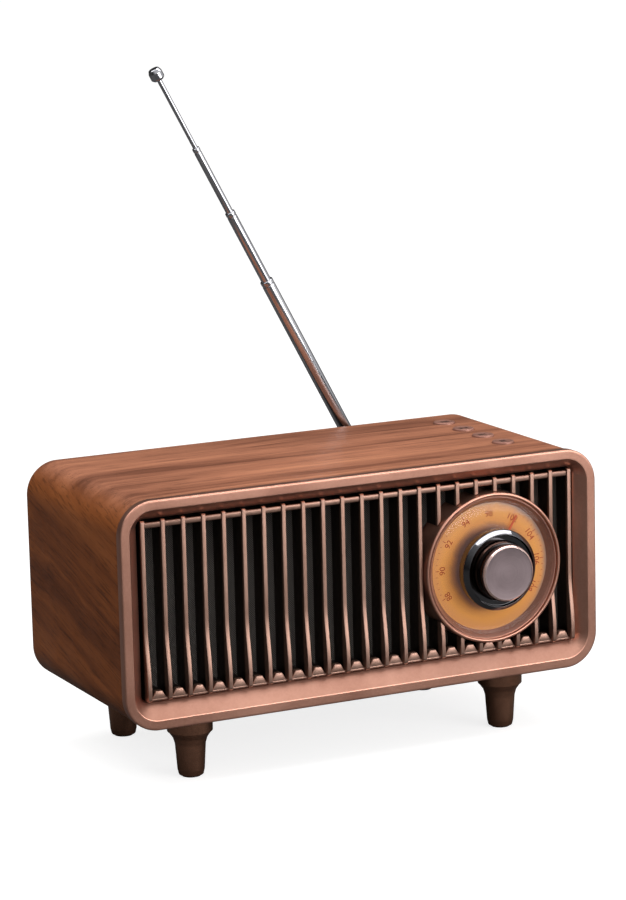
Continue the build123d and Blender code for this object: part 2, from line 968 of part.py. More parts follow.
socket_out = cover_out_y - socket_recess
with BuildPart() as usb_socket:
    with BuildSketch(facing(socket_out)):
        with Locations(usb_spot):
            RectangleRounded(usb_width, usb_height, usb_corner)
    extrude(amount=usb_length)
    with BuildSketch(facing(socket_out)):
        with Locations(usb_spot):
            RectangleRounded(usb_width - 2 * usb_wall, usb_height - 2 * usb_wall, usb_corner - usb_wall)
            Rectangle(usb_width - 2 * usb_tongue_inset, usb_tongue, mode=Mode.SUBTRACT)
    extrude(amount=usb_length - usb_floor, mode=Mode.SUBTRACT)
save(usb_socket.part, "usb_socket")

socket_face = cover_in_y - socket_gap
with BuildPart() as aux_socket:
    with BuildSketch(facing(socket_face)):
        with Locations(aux_spot):
            Rectangle(aux_width, aux_height)
    extrude(amount=aux_length)
    with BuildSketch(facing(socket_face)):
        with Locations(aux_spot):
            Circle(aux_bore_radius + aux_collar_wall)
    extrude(amount=socket_face - socket_out)
    with BuildSketch(facing(socket_out)):
        with Locations(aux_spot):
            Circle(aux_bore_radius)
    extrude(amount=aux_length, mode=Mode.SUBTRACT)
save(aux_socket.part, "aux_socket")

with BuildPart() as card_slot:
    with BuildSketch(facing(socket_out)):
        with Locations(card_spot):
            Rectangle(card_width, card_height)
    extrude(amount=card_length)
    with BuildSketch(facing(socket_out)):
        with Locations(card_spot):
            Rectangle(card_width - 2 * card_side_wall, card_height - 2 * card_wall)
    extrude(amount=card_length - card_floor, mode=Mode.SUBTRACT)
save(card_slot.part, "card_slot")

slider_height = slider_neck + 2 * slider_shoulder
with BuildPart() as power_switch:
    with BuildSketch(facing(socket_face)):
        with Locations((power_x, window_z)):
            Rectangle(power_width, power_height)
    extrude(amount=power_depth)
    with BuildSketch(facing(socket_face)):
        with Locations((power_x, window_z)):
            Rectangle(slider_width + power_travel + 2 * slider_play, slider_height + 2 * running_gap)
    extrude(amount=slider_depth + running_gap, mode=Mode.SUBTRACT)
save(power_switch.part, "power_switch")

with BuildPart() as power_slider:
    with BuildSketch(facing(socket_face - slider_depth)):
        with Locations((power_start, window_z)):
            Rectangle(slider_width, slider_height)
    extrude(amount=-slider_depth)
    with BuildSketch(facing(socket_face)):
        with Locations((power_start, window_z)):
            Rectangle(slider_neck, slider_neck)
    extrude(amount=-(cover_out_y + slider_stand - socket_face))
save(power_slider.part, "power_slider")

# ---------------------------------------------------------------- battery in its holder

cell_x = half_inner - cell_inset
cell_mid_y = back_y - cell_back_inset
cell_z = inner_low + holder_wall + cell_radius
pocket_length = cell_length + 2 * seat_gap
pocket_width = 2 * (cell_radius + seat_gap)
with BuildPart() as holder:
    with BuildSketch(Plane.XY.offset(inner_low)):
        with Locations((cell_x, cell_mid_y)):
            RectangleRounded(pocket_length + 2 * holder_wall, pocket_width + 2 * holder_wall, holder_corner)
    extrude(amount=holder_height)
    with BuildSketch(Plane.XY.offset(inner_low + holder_wall)):
        with Locations((cell_x, cell_mid_y)):
            Rectangle(pocket_length, pocket_width)
    extrude(amount=holder_height, mode=Mode.SUBTRACT)
save(holder.part, "battery_holder")

can_length = cell_length - contact_height
cell = turned(
    [
        (0, 0),
        (cell_radius - cell_bevel, 0),
        (cell_radius, cell_bevel),
        (cell_radius, can_length - cell_bevel),
        (cell_radius - cell_bevel, can_length),
        (contact_radius, can_length),
        (contact_radius, cell_length),
        (0, cell_length),
    ],
    Plane(origin=(cell_x - cell_length / 2, cell_mid_y, cell_z), x_dir=(0, 1, 0), z_dir=(0, 0, -1)),
    Axis((cell_x, cell_mid_y, cell_z), (1, 0, 0)),
)
save(cell, "battery_cell")

# ---------------------------------------------------------------- antenna

pivot_plane = Plane(origin=(antenna_x, 0, antenna_pivot.Z), x_dir=(1, 0, 0), z_dir=(0, 0, 1))
pivot_axis = Axis((antenna_x, 0, antenna_pivot.Z), (0, 1, 0))
mount_out = back_y + mount_stand
boss_end = cover_in_y - mount_nut_thickness - mount_boss_end
antenna_mount = turned(
    [
        (pivot_radius + running_gap, boss_end),
        (mount_boss_radius, boss_end),
        (mount_boss_radius, cover_out_y),
        (mount_radius, cover_out_y),
        (mount_radius, mount_out - mount_bevel),
        (mount_radius - mount_bevel, mount_out),
        (pivot_radius + running_gap, mount_out),
    ],
    pivot_plane,
    pivot_axis,
)
save(antenna_mount, "antenna_mount")

with BuildPart() as antenna_nut:
    with BuildSketch(facing(cover_in_y)):
        with Locations((antenna_x, antenna_pivot.Z)):
            RegularPolygon(mount_nut_width / 2, 6, major_radius=False)
            Circle(mount_boss_radius + running_gap, mode=Mode.SUBTRACT)
    extrude(amount=mount_nut_thickness)
save(antenna_nut.part, "antenna_nut")

swivel_y = mount_out + swivel_gap
swivel_back = swivel_y + swivel_thickness
pin_end = boss_end - retainer_gap - retainer_thickness
ear_x = tongue_width / 2 + running_gap
ear_reach = antenna_y - swivel_back
fold_plane = Plane(origin=antenna_pivot, x_dir=(0, 1, 0), z_dir=antenna_plane.x_dir)
with BuildPart() as swivel:
    with BuildSketch(pivot_plane):
        with Locations((swivel_radius / 2, (swivel_y + swivel_back) / 2)):
            Rectangle(swivel_radius, swivel_thickness)
        with Locations((pivot_radius / 2, (pin_end + swivel_y) / 2)):
            Rectangle(pivot_radius, swivel_y - pin_end)
    revolve(axis=pivot_axis)
    for side in (-1, 1):
        with BuildSketch(fold_plane.offset(side * (ear_x + ear_thickness / 2))):
            Circle(ear_radius)
            with Locations((-ear_reach / 2, 0)):
                Rectangle(ear_reach, 2 * ear_radius)
            Circle(pin_radius, mode=Mode.SUBTRACT)
        extrude(amount=ear_thickness / 2, both=True)
save(swivel.part, "antenna_swivel")

antenna_retainer = turned(
    [
        (pivot_radius, pin_end),
        (retainer_radius, pin_end),
        (retainer_radius, pin_end + retainer_thickness),
        (pivot_radius, pin_end + retainer_thickness),
    ],
    pivot_plane,
    pivot_axis,
)
save(antenna_retainer, "antenna_retainer")

with BuildPart() as pin:
    with BuildSketch(fold_plane.offset(-ear_x - ear_thickness)):
        Circle(pin_radius)
    extrude(amount=2 * (ear_x + ear_thickness))
save(pin.part, "antenna_pin")

with BuildPart() as elbow:
    with BuildSketch(antenna_plane):
        with Locations((0, (elbow_length - ear_radius) / 2)):
            Rectangle(tongue_width, elbow_length + ear_radius)
    extrude(amount=ear_radius, both=True)
    tongue_ends = elbow.edges().filter_by(Axis(antenna_pivot, antenna_plane.x_dir)).sort_by(rod_axis)[:2]
    fillet(tongue_ends, ear_radius - elbow_end_flat)
    with BuildSketch(antenna_plane):
        with Locations((ferrule_radius / 2, elbow_length + ferrule_length / 2)):
            Rectangle(ferrule_radius, ferrule_length)
    revolve(axis=rod_axis)
    with BuildSketch(fold_plane):
        Circle(pin_radius + running_gap)
    extrude(amount=tongue_width, both=True, mode=Mode.SUBTRACT)
save(elbow.part, "antenna_elbow")

tube_low = elbow_length + ferrule_length
mouths = [base_reach]
for exposed in tube_exposed:
    mouths.append(mouths[-1] + exposed)

section_names = ("antenna_tube_base", "antenna_tube_middle", "antenna_tube_upper")
for k, name in enumerate(section_names):
    low = tube_low if k == 0 else mouths[k - 1] - tube_inside
    outer = tube_radii[k]
    inner = outer - tube_wall
    mouth = tube_radii[k + 1] + running_gap
    high = mouths[k]
    profile = [(inner, low)]
    if k > 0:
        collar = tube_radii[k - 1] - tube_wall - running_gap
        profile += [(collar, low), (collar, low + collar_length), (outer, low + collar_length)]
    else:
        profile += [(outer, low)]
    profile += [(outer, high), (mouth, high), (mouth, high - mouth_length), (inner, high - mouth_length)]
    save(turned(profile, antenna_plane, rod_axis), name)

rod_low = mouths[2] - tube_inside
rod_high = mouths[3]
rod_collar = tube_radii[2] - tube_wall - running_gap
antenna_tip = turned(
    [
        (0, rod_low),
        (rod_collar, rod_low),
        (rod_collar, rod_low + collar_length),
        (tube_radii[3], rod_low + collar_length),
        (tube_radii[3], rod_high),
        (tip_radius - tip_low_bevel, rod_high),
        (tip_radius, rod_high + tip_low_bevel),
        (tip_radius, rod_high + tip_length - tip_high_length),
        (tip_radius - tip_high_bevel, rod_high + tip_length),
        (0, rod_high + tip_length),
    ],
    antenna_plane,
    rod_axis,
)
save(antenna_tip, "antenna_tip_rod")
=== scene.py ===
import json
import logging
import math
from contextlib import contextmanager
from dataclasses import dataclass, field, replace
from enum import Enum
from typing import Callable, Iterator, Optional, Sequence

import bmesh
import bpy
from mathutils import Matrix, Vector


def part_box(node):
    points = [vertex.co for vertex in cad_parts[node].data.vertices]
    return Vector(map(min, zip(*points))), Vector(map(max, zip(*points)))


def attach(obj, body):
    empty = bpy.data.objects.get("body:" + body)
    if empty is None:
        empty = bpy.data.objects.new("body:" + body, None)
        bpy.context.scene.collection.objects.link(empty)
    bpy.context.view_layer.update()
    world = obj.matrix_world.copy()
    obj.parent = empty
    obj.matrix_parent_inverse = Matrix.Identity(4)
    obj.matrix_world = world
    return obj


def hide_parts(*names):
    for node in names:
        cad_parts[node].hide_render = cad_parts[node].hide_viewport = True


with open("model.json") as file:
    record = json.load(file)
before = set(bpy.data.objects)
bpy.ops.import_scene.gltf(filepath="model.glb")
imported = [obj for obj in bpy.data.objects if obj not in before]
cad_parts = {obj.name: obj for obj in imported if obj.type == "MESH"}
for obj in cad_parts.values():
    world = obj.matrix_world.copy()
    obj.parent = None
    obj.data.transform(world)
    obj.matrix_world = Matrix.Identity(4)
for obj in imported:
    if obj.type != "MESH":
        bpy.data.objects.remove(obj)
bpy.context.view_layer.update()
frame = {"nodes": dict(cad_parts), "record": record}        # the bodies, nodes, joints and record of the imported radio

# Dresses the walnut radio: each sub-assembly is a class that builds its meshes and gives them
# their finish. Lengths in the classes are millimetres, and meshes are metres.

MM = 0.001
MERGE = 1e-7        # vertices nearer than this, in metres, are one
LOG = logging.getLogger("radio")

Point = tuple[float, float]
RoundedPoint = tuple[float, float, float]
Colour = tuple[float, float, float, float]


def srgb(red: float, green: float, blue: float) -> Colour:
    """Turn a screen colour into the linear colour that the shaders read.

    Args:
        red, green, blue: screen values from 0 to 255.

    Returns:
        The linear colour with full opacity.
    """
    def linear(value: float) -> float:
        """Undo the screen's curve on one channel."""
        share = value / 255.0
        return share / 12.92 if share <= 0.04045 else ((share + 0.055) / 1.055) ** 2.4

    return (linear(red), linear(green), linear(blue), 1.0)


def corner_low(node: str) -> Vector:
    """Lowest corner of a CAD node, in metres."""
    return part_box(node)[0]


def corner_high(node: str) -> Vector:
    """Highest corner of a CAD node, in metres."""
    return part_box(node)[1]


def middle(node: str) -> Vector:
    """Centre of a CAD node's box, in metres."""
    low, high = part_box(node)
    return (low + high) / 2


# ------------------------------------------------------------------ finishes


def add_node(
    tree: bpy.types.NodeTree, kind: str, feeds: Optional[dict] = None, **settings: object
) -> bpy.types.Node:
    """Add a node to a tree.

    Args:
        tree: the tree that it goes into.
        kind: the node's type, without its ShaderNode prefix.
        feeds: a socket to link, or a value to set, for each input's name or number.
        settings: the node's own options.

    Returns:
        The new node.
    """
    node = tree.nodes.new(f"ShaderNode{kind}")
    for key, value in settings.items():
        setattr(node, key, value)
    for key, value in (feeds or {}).items():
        if isinstance(value, bpy.types.NodeSocket):
            tree.links.new(value, node.inputs[key])
        else:
            node.inputs[key].default_value = value
    return node


class Wiring:
    """Node tree of one finish, wired node by node."""

    def __init__(self, name: str, **even: object) -> None:
        """Start a material.

        Args:
            name: the finish's name.
            even: values set on the shader's own sockets, with underscores for spaces.
        """
        self.material = bpy.data.materials.new(name)
        self.material.use_nodes = True
        self.tree = self.material.node_tree
        self.shader = self.tree.nodes["Principled BSDF"]
        for key, value in even.items():
            self.shader.inputs[key.replace("_", " ")].default_value = value
        self.spot = self.add("TexCoord").outputs["Object"]

    def add(self, kind: str, feeds: Optional[dict] = None, **settings: object) -> bpy.types.Node:
        """Add a node to the finish."""
        return add_node(self.tree, kind, feeds, **settings)

    def stretched(
        self, scale: Sequence[float], turn: Sequence[float] = (0, 0, 0),
        centre: Sequence[float] = (0, 0, 0),
    ) -> bpy.types.NodeSocket:
        """Object coordinates moved to a centre, turned, then scaled.

        Args:
            scale: how much each axis is scaled.
            turn: turn about each axis, in radians.
            centre: the point that comes to zero, in metres.

        Returns:
            The socket of the new coordinates.
        """
        away = {0: self.spot, 1: tuple(centre)}
        moved = self.add("VectorMath", away, operation="SUBTRACT").outputs[0]
        turned = self.add("Mapping", {"Vector": moved, "Rotation": tuple(turn)}).outputs[0]
        return self.add("VectorMath", {0: turned, 1: tuple(scale)}, operation="MULTIPLY").outputs[0]

    def noise(
        self, place: bpy.types.NodeSocket, scale: float = 1.0, detail: float = 4.0,
        roughness: float = 0.55, distortion: float = 0.0,
    ) -> bpy.types.NodeSocket:
        """Cloudy pattern from 0 to 1 at a place."""
        feeds = {
            "Vector": place, "Scale": scale, "Detail": detail, "Roughness": roughness,
            "Distortion": distortion,
        }
        return self.add("TexNoise", feeds).outputs["Fac"]

    def cloud(
        self, scale: float, detail: float, roughness: float = 0.6, distortion: float = 0.0
    ) -> bpy.types.NodeSocket:
        """Cloudy pattern from 0 to 1, alike along every axis."""
        return self.noise(self.stretched((scale,) * 3), 1.0, detail, roughness, distortion)

    def sum(self, operation: str, first: object, second: object = 0.0) -> bpy.types.NodeSocket:
        """One arithmetic step on two sockets or numbers."""
        return self.add("Math", {0: first, 1: second}, operation=operation).outputs[0]

    def weighed(self, first: object, share: float, second: object) -> bpy.types.NodeSocket:
        """A share of one pattern, with the rest made up by another."""
        rest = self.sum("MULTIPLY", second, 1.0 - share)
        return self.sum("ADD", self.sum("MULTIPLY", first, share), rest)

    def span(
        self, value: object, low: float, high: float, to_low: float = 0.0, to_high: float = 1.0
    ) -> bpy.types.NodeSocket:
        """Map a value smoothly from one range to another, held at its ends."""
        feeds = {
            "Value": value, "From Min": low, "From Max": high, "To Min": to_low, "To Max": to_high,
        }
        return self.add("MapRange", feeds, interpolation_type="SMOOTHSTEP").outputs["Result"]

    def ramp(self, value: object, stops: Sequence[tuple[float, Colour]]) -> bpy.types.NodeSocket:
        """Colours along a value.

        Args:
            value: the value, from 0 to 1.
            stops: the value and the colour of each stop, in order.

        Returns:
            The socket of the colour.
        """
        node = self.add("ValToRGB", {"Fac": value})
        bar = node.color_ramp
        while len(bar.elements) < len(stops):
            bar.elements.new(1.0)
        for element, (place, colour) in zip(bar.elements, stops):
            element.position = place
            element.color = colour
        return node.outputs["Color"]

    def blend(
        self, share: object, first: object, second: object, mode: str = "MIX"
    ) -> bpy.types.NodeSocket:
        """Mix two colours by a share."""
        feeds = {0: share, 6: first, 7: second}
        return self.add("Mix", feeds, data_type="RGBA", blend_type=mode).outputs[2]

    def between(self, share: object, first: object, second: object) -> bpy.types.NodeSocket:
        """Mix two numbers by a share."""
        return self.add("Mix", {0: share, 2: first, 3: second}, data_type="FLOAT").outputs[0]

    def satin(self, base: Colour, shade: Colour, skin: float) -> tuple[bpy.types.NodeSocket, ...]:
        """Soft tone changes and fine specks of satin paint.

        Args:
            base: the lighter colour.
            shade: the darker colour.
            skin: how fine the specks are.

        Returns:
            The sockets of the tone, of the specks, of both weighed together, and of the colour.
        """
        tone = self.cloud(30, 5, distortion=0.4)
        speck = self.cloud(skin, 3)
        share = self.weighed(tone, 0.7, speck)
        return tone, speck, share, self.blend(self.span(share, 0.3, 0.7), shade, base)

    def colour(self, socket: bpy.types.NodeSocket) -> None:
        """Feed the shader's colour."""
        self.tree.links.new(socket, self.shader.inputs["Base Color"])

    def rough(self, value: bpy.types.NodeSocket, low: float, high: float) -> None:
        """Feed the shader's roughness from a pattern, between two values."""
        self.tree.links.new(self.span(value, 0.25, 0.75, low, high), self.shader.inputs["Roughness"])

    def bump(self, height: bpy.types.NodeSocket, depth: float, strength: float = 1.0) -> None:
        """Raise the surface by a pattern, by at most a depth in metres."""
        node = self.add("Bump", {"Height": height, "Distance": depth, "Strength": strength})
        self.tree.links.new(node.outputs["Normal"], self.shader.inputs["Normal"])


@dataclass(frozen=True)
class Walnut:
    """Satin walnut: long grain across the top, slanted grain on the two ends, whose darker tones are partly painted
    shade of the sides.
    """

    end_start: float = 94.5
    end_full: float = 104.0
    slant: float = 14.0

    def grain(
        self, wiring: Wiring, turn: Sequence[float], along: Sequence[float], across: Sequence[float]
    ) -> tuple[bpy.types.NodeSocket, bpy.types.NodeSocket]:
        """Streaks, broad bands and pores that run one way.

        Args:
            wiring: the tree to wire.
            turn: how the grain is turned.
            along: scale of the streaks on each axis.
            across: scale of the pores on each axis.

        Returns:
            The sockets of the tone and of the pores.
        """
        waver = wiring.noise(wiring.stretched((7, 16, 16), turn), detail=3)
        sway = wiring.sum("MULTIPLY", waver, 1.1)
        shift = wiring.add("CombineXYZ", {0: 0.0, 1: sway, 2: sway}).outputs[0]
        straight = wiring.stretched(along, turn)
        place = wiring.add("VectorMath", {0: straight, 1: shift}, operation="ADD").outputs[0]
        fine = wiring.noise(place, 1.0, 9, 0.62, 0.35)
        broad = wiring.noise(place, 0.3, 3, 0.5, 0.9)
        pores = wiring.noise(wiring.stretched(across, turn), 1.0, 3, 0.6)
        return wiring.weighed(fine, 0.58, broad), pores

    def make(self, name: str) -> bpy.types.Material:
        """Build the material.

        Args:
            name: the material's name.

        Returns:
            The wired material.
        """
        wiring = Wiring(name, Specular_IOR_Level=0.18)
        top_tone, top_pores = self.grain(wiring, (0, 0, 0), (5.5, 105, 105), (55, 1300, 1300))
        end_turn = (math.radians(-self.slant), 0, 0)
        end_tone, end_pores = self.grain(wiring, end_turn, (70, 9, 130), (900, 60, 1300))
        top = wiring.ramp(top_tone, [
            (0.34, srgb(84, 49, 35)), (0.43, srgb(124, 77, 57)), (0.50, srgb(157, 102, 77)),
            (0.57, srgb(176, 116, 88)), (0.68, srgb(200, 136, 102)),
        ])
        # The ends' darker, deeper tones are partly the wood's own colour and partly painted shade of the sides that
        # face away from the light.
        end = wiring.ramp(end_tone, [
            (0.33, srgb(92, 48, 24)), (0.43, srgb(118, 64, 32)), (0.50, srgb(136, 76, 38)),
            (0.58, srgb(150, 86, 45)), (0.70, srgb(165, 97, 53)),
        ])
        parts = wiring.add("SeparateXYZ", {0: wiring.spot})
        out = wiring.sum("ABSOLUTE", parts.outputs["X"])
        # The end colours blend in over the top's rounded corners, darkening them as painted shade.
        at_end = wiring.span(out, self.end_start * MM, self.end_full * MM)
        grain = wiring.blend(at_end, top, end)
        pores = wiring.between(at_end, top_pores, end_pores)
        dark = wiring.span(pores, 0.36, 0.48, 0.62, 1.0)
        flat = wiring.add("CombineColor", {0: dark, 1: dark, 2: dark}).outputs[0]
        wiring.colour(wiring.blend(1.0, grain, flat, "MULTIPLY"))
        wiring.rough(top_tone, 0.50, 0.38)
        wiring.bump(pores, 0.00012, 0.55)
        return wiring.material


@dataclass(frozen=True)
class SatinMetal:
    """Painted or plated metal with a fine even skin, soft tone changes and slight wear."""

    base: Colour
    shade: Colour
    metallic: float = 0.6
    smooth: float = 0.34
    dull: float = 0.46
    skin: float = 900.0
    skin_depth: float = 0.00001

    def make(self, name: str) -> bpy.types.Material:
        """Build the material.

        Args:
            name: the material's name.

        Returns:
            The wired material.
        """
        wiring = Wiring(name, Metallic=self.metallic)
        _, speck, share, skin = wiring.satin(self.base, self.shade, self.skin)
        wiring.colour(skin)
        wiring.rough(share, self.smooth, self.dull)
        wiring.bump(speck, self.skin_depth, 0.6)
        return wiring.material


@dataclass(frozen=True)
class CopperWithPaintedDepthShade:
    """Satin copper on the front edges, darkened to near black deep between the fins by painted shade."""

    base: Colour
    shade: Colour
    front: float
    copper_depth: float = 3.3
    painted_shade_depth: float = 5.0

    def make(self, name: str) -> bpy.types.Material:
        """Build the material.

        Args:
            name: the material's name.

        Returns:
            The wired material.
        """
        wiring = Wiring(name, Metallic=0.9)
        tone, speck, share, copper = wiring.satin(self.base, self.shade, 900)
        parts = wiring.add("SeparateXYZ", {0: wiring.spot})
        waver = wiring.sum("MULTIPLY", wiring.sum("SUBTRACT", tone, 0.5), 0.8 * MM)
        depth = wiring.sum("ADD", wiring.sum("SUBTRACT", parts.outputs["Y"], self.front), waver)
        # Painted shade: the share of near-black, growing with depth behind the front, stands in for the shade between
        # the fins.
        deep = wiring.span(depth, self.copper_depth * MM, self.painted_shade_depth * MM)
        wiring.colour(wiring.blend(deep, copper, srgb(50, 37, 30)))
        wiring.rough(share, 0.32, 0.44)
        wiring.bump(speck, 0.00001, 0.6)
        return wiring.material


@dataclass(frozen=True)
class DrawnMetal:
    """Bright metal with hair lines drawn along one direction."""

    base: Colour
    shade: Colour
    lines: tuple[float, float, float]
    turn: tuple[float, float, float] = (0.0, 0.0, 0.0)
    smooth: float = 0.08
    dull: float = 0.22

    def make(self, name: str) -> bpy.types.Material:
        """Build the material.

        Args:
            name: the material's name.

        Returns:
            The wired material.
        """
        wiring = Wiring(name, Metallic=1.0)
        hair = wiring.noise(wiring.stretched(self.lines, self.turn), 1.0, 5, 0.6)
        smear = wiring.cloud(60, 4)
        wiring.colour(wiring.blend(wiring.span(hair, 0.35, 0.65), self.shade, self.base))
        wiring.rough(wiring.weighed(hair, 0.6, smear), self.smooth, self.dull)
        wiring.bump(hair, 0.000004, 0.5)
        return wiring.material


@dataclass(frozen=True)
class SpunMetal:
    """Metal turned on a lathe, with fine rings about an axis that faces the listener."""

    base: Colour
    shade: Colour
    centre: tuple[float, float, float]
    metallic: float = 0.9
    smooth: float = 0.3
    dull: float = 0.42
    rings: float = 2600.0
    polish_from: float = 1.0
    polish_width: float = 0.15 * MM

    def make(self, name: str) -> bpy.types.Material:
        """Build the material.

        Args:
            name: the material's name.

        Returns:
            The wired material.
        """
        wiring = Wiring(name, Metallic=self.metallic)
        place = wiring.stretched((1, 0, 1), centre=self.centre)
        reach = wiring.add("VectorMath", {0: place}, operation="LENGTH").outputs["Value"]
        rings = wiring.add("CombineXYZ", {0: wiring.sum("MULTIPLY", reach, self.rings)}).outputs[0]
        line = wiring.noise(rings, 1.0, 3, 0.7)
        share = wiring.weighed(line, 0.55, wiring.cloud(110, 4))
        skin = wiring.blend(wiring.span(share, 0.3, 0.7), self.shade, self.base)
        polished = wiring.span(reach, self.polish_from, self.polish_from + self.polish_width)
        wiring.colour(wiring.blend(polished, skin, srgb(236, 204, 196)))
        satin = wiring.span(share, 0.25, 0.75, self.smooth, self.dull)
        dullness = wiring.between(polished, satin, 0.16)
        wiring.tree.links.new(dullness, wiring.shader.inputs["Roughness"])
        wiring.bump(line, 0.000005, 0.5)
        return wiring.material


@dataclass(frozen=True)
class WovenCloth:
    """Plain weave stretched over the front board."""

    warp: Colour
    weft: Colour
    pitch: float = 0.9

    def make(self, name: str) -> bpy.types.Material:
        """Build the material.

        Args:
            name: the material's name.

        Returns:
            The wired material.
        """
        wiring = Wiring(name, Roughness=0.85, Sheen_Weight=0.25, Sheen_Roughness=0.5)
        turns = math.tau / (self.pitch * MM)
        parts = wiring.add("SeparateXYZ", {0: wiring.spot})
        ups = wiring.sum("SINE", wiring.sum("MULTIPLY", parts.outputs["X"], turns))
        downs = wiring.sum("SINE", wiring.sum("MULTIPLY", parts.outputs["Z"], turns))
        over = wiring.sum("MULTIPLY", ups, downs)
        slub = wiring.noise(wiring.stretched((500, 500, 60)), 1.0, 3, 0.6)
        share = wiring.span(wiring.sum("ADD", over, wiring.sum("SUBTRACT", slub, 0.5)), -0.8, 0.8)
        wiring.colour(wiring.blend(share, self.warp, self.weft))
        wiring.bump(over, 0.00012, 0.8)
        return wiring.material


@dataclass(frozen=True)
class AmberFace:
    """Backlit amber dial face: warm in the middle of its ring, with painted shade greying it by the knob and on the far
    side.
    """

    centre: tuple[float, float, float]
    radius: float
    far_shade_shift: tuple[float, float] = (-1.8, -0.8)

    def make(self, name: str) -> bpy.types.Material:
        """Build the material.

        Args:
            name: the material's name.

        Returns:
            The wired material.
        """
        wiring = Wiring(name, Roughness=0.42, Emission_Strength=0.34)
        cloud = wiring.cloud(160, 5, distortion=0.5)
        waver = wiring.sum("MULTIPLY", wiring.sum("SUBTRACT", cloud, 0.5), 0.10)

        def ring(shift: Point) -> bpy.types.NodeSocket:
            """Wire the distance from a shifted centre.

            Args:
                shift: how far the centre is moved across and up, in millimetres.

            Returns:
                The socket of the distance, as a share of the face's radius.
            """
            spot = (self.centre[0] + shift[0] * MM, 0.0, self.centre[2] + shift[1] * MM)
            place = wiring.stretched((1, 0, 1), centre=spot)
            reach = wiring.add("VectorMath", {0: place}, operation="LENGTH").outputs["Value"]
            return wiring.sum("ADD", wiring.sum("DIVIDE", reach, self.radius), waver)

        # The grey lowest stop, next to the knob, is painted shade cast by the knob.
        warm = wiring.ramp(ring((0.0, 0.0)), [
            (0.57, srgb(118, 88, 82)), (0.64, srgb(172, 114, 78)), (0.71, srgb(224, 148, 74)),
            (0.82, srgb(236, 160, 76)), (0.94, srgb(226, 154, 88)),
        ])
        # Painted shade: the face greys towards its right and upper edge, measured from a centre moved down and to the
        # left.
        edge = wiring.span(ring(self.far_shade_shift), 0.96, 1.08)
        glow = wiring.blend(edge, warm, srgb(146, 118, 108))
        wiring.colour(glow)
        wiring.tree.links.new(glow, wiring.shader.inputs["Emission Color"])
        wiring.bump(cloud, 0.00002, 0.4)
        return wiring.material


@dataclass(frozen=True)
class Moulded:
    """Moulded plastic, rubber, paper or paint with a grained skin."""

    base: Colour
    shade: Colour
    smooth: float = 0.42
    dull: float = 0.6
    grain: float = 2200.0
    depth: float = 0.00003

    def make(self, name: str) -> bpy.types.Material:
        """Build the material.

        Args:
            name: the material's name.

        Returns:
            The wired material.
        """
        wiring = Wiring(name)
        skin = wiring.cloud(self.grain, 2, 0.5)
        cloud = wiring.cloud(45, 4)
        wiring.colour(wiring.blend(wiring.span(cloud, 0.3, 0.7), self.shade, self.base))
        wiring.rough(skin, self.smooth, self.dull)
        wiring.bump(skin, self.depth, 0.7)
        return wiring.material


@dataclass(frozen=True)
class ClearPlate:
    """Thin clear plate that lets the face behind it show, with a polished surface."""

    def make(self, name: str) -> bpy.types.Material:
        """Build the material.

        Args:
            name: the material's name.

        Returns:
            The wired material.
        """
        wiring = Wiring(name, Alpha=0.12, IOR=1.49, Specular_IOR_Level=0.9)
        film = wiring.cloud(70, 4)
        wiring.colour(wiring.blend(film, srgb(96, 82, 72), srgb(112, 96, 84)))
        wiring.rough(film, 0.04, 0.10)
        return wiring.material


@dataclass(frozen=True)
class CircuitBoard:
    """Green board with lighter tracks under its lacquer."""

    def make(self, name: str) -> bpy.types.Material:
        """Build the material.

        Args:
            name: the material's name.

        Returns:
            The wired material.
        """
        wiring = Wiring(name, Coat_Weight=0.4, Coat_Roughness=0.2)
        cells = wiring.add("TexBrick", {
            "Vector": wiring.stretched((1, 1, 1)), "Scale": 160.0, "Mortar Size": 0.03,
            "Color1": srgb(20, 74, 48), "Color2": srgb(24, 84, 54), "Mortar": srgb(46, 120, 80),
        })
        speck = wiring.cloud(900, 3)
        wiring.colour(cells.outputs["Color"])
        wiring.rough(speck, 0.35, 0.5)
        wiring.bump(cells.outputs["Fac"], 0.00003, 0.6)
        return wiring.material


class Slot(Enum):
    """Material slots of the record."""

    WALNUT = "walnut_wood"
    COPPER = "copper_paint"
    GRILLE = "grille_copper"
    CLOTH = "black_cloth"
    PLASTIC = "black_plastic"
    BASKET = "basket_steel"
    PAPER = "paper_cone"
    MAGNET = "ferrite_magnet"
    SCREW = "screw_steel"
    BLACK_SCREW = "black_screw"
    LENS = "clear_lens"
    AMBER = "amber_scale"
    DIFFUSER = "white_diffuser"
    BOARD = "circuit_board"
    LAMP = "lamp_white"
    ENCODER = "encoder_metal"
    BRASS = "shaft_brass"
    BLACK_CHROME = "black_chrome"
    BRONZE = "dark_bronze"
    CAP = "satin_cap"
    RED = "red_pointer"
    BUTTON = "button_bronze"
    FOOT = "foot_bronze"
    RUBBER = "pad_rubber"
    PINE = "pine_block"
    SOCKET = "socket_steel"
    CHROME = "chrome_tube"
    WRAP = "cell_wrap"


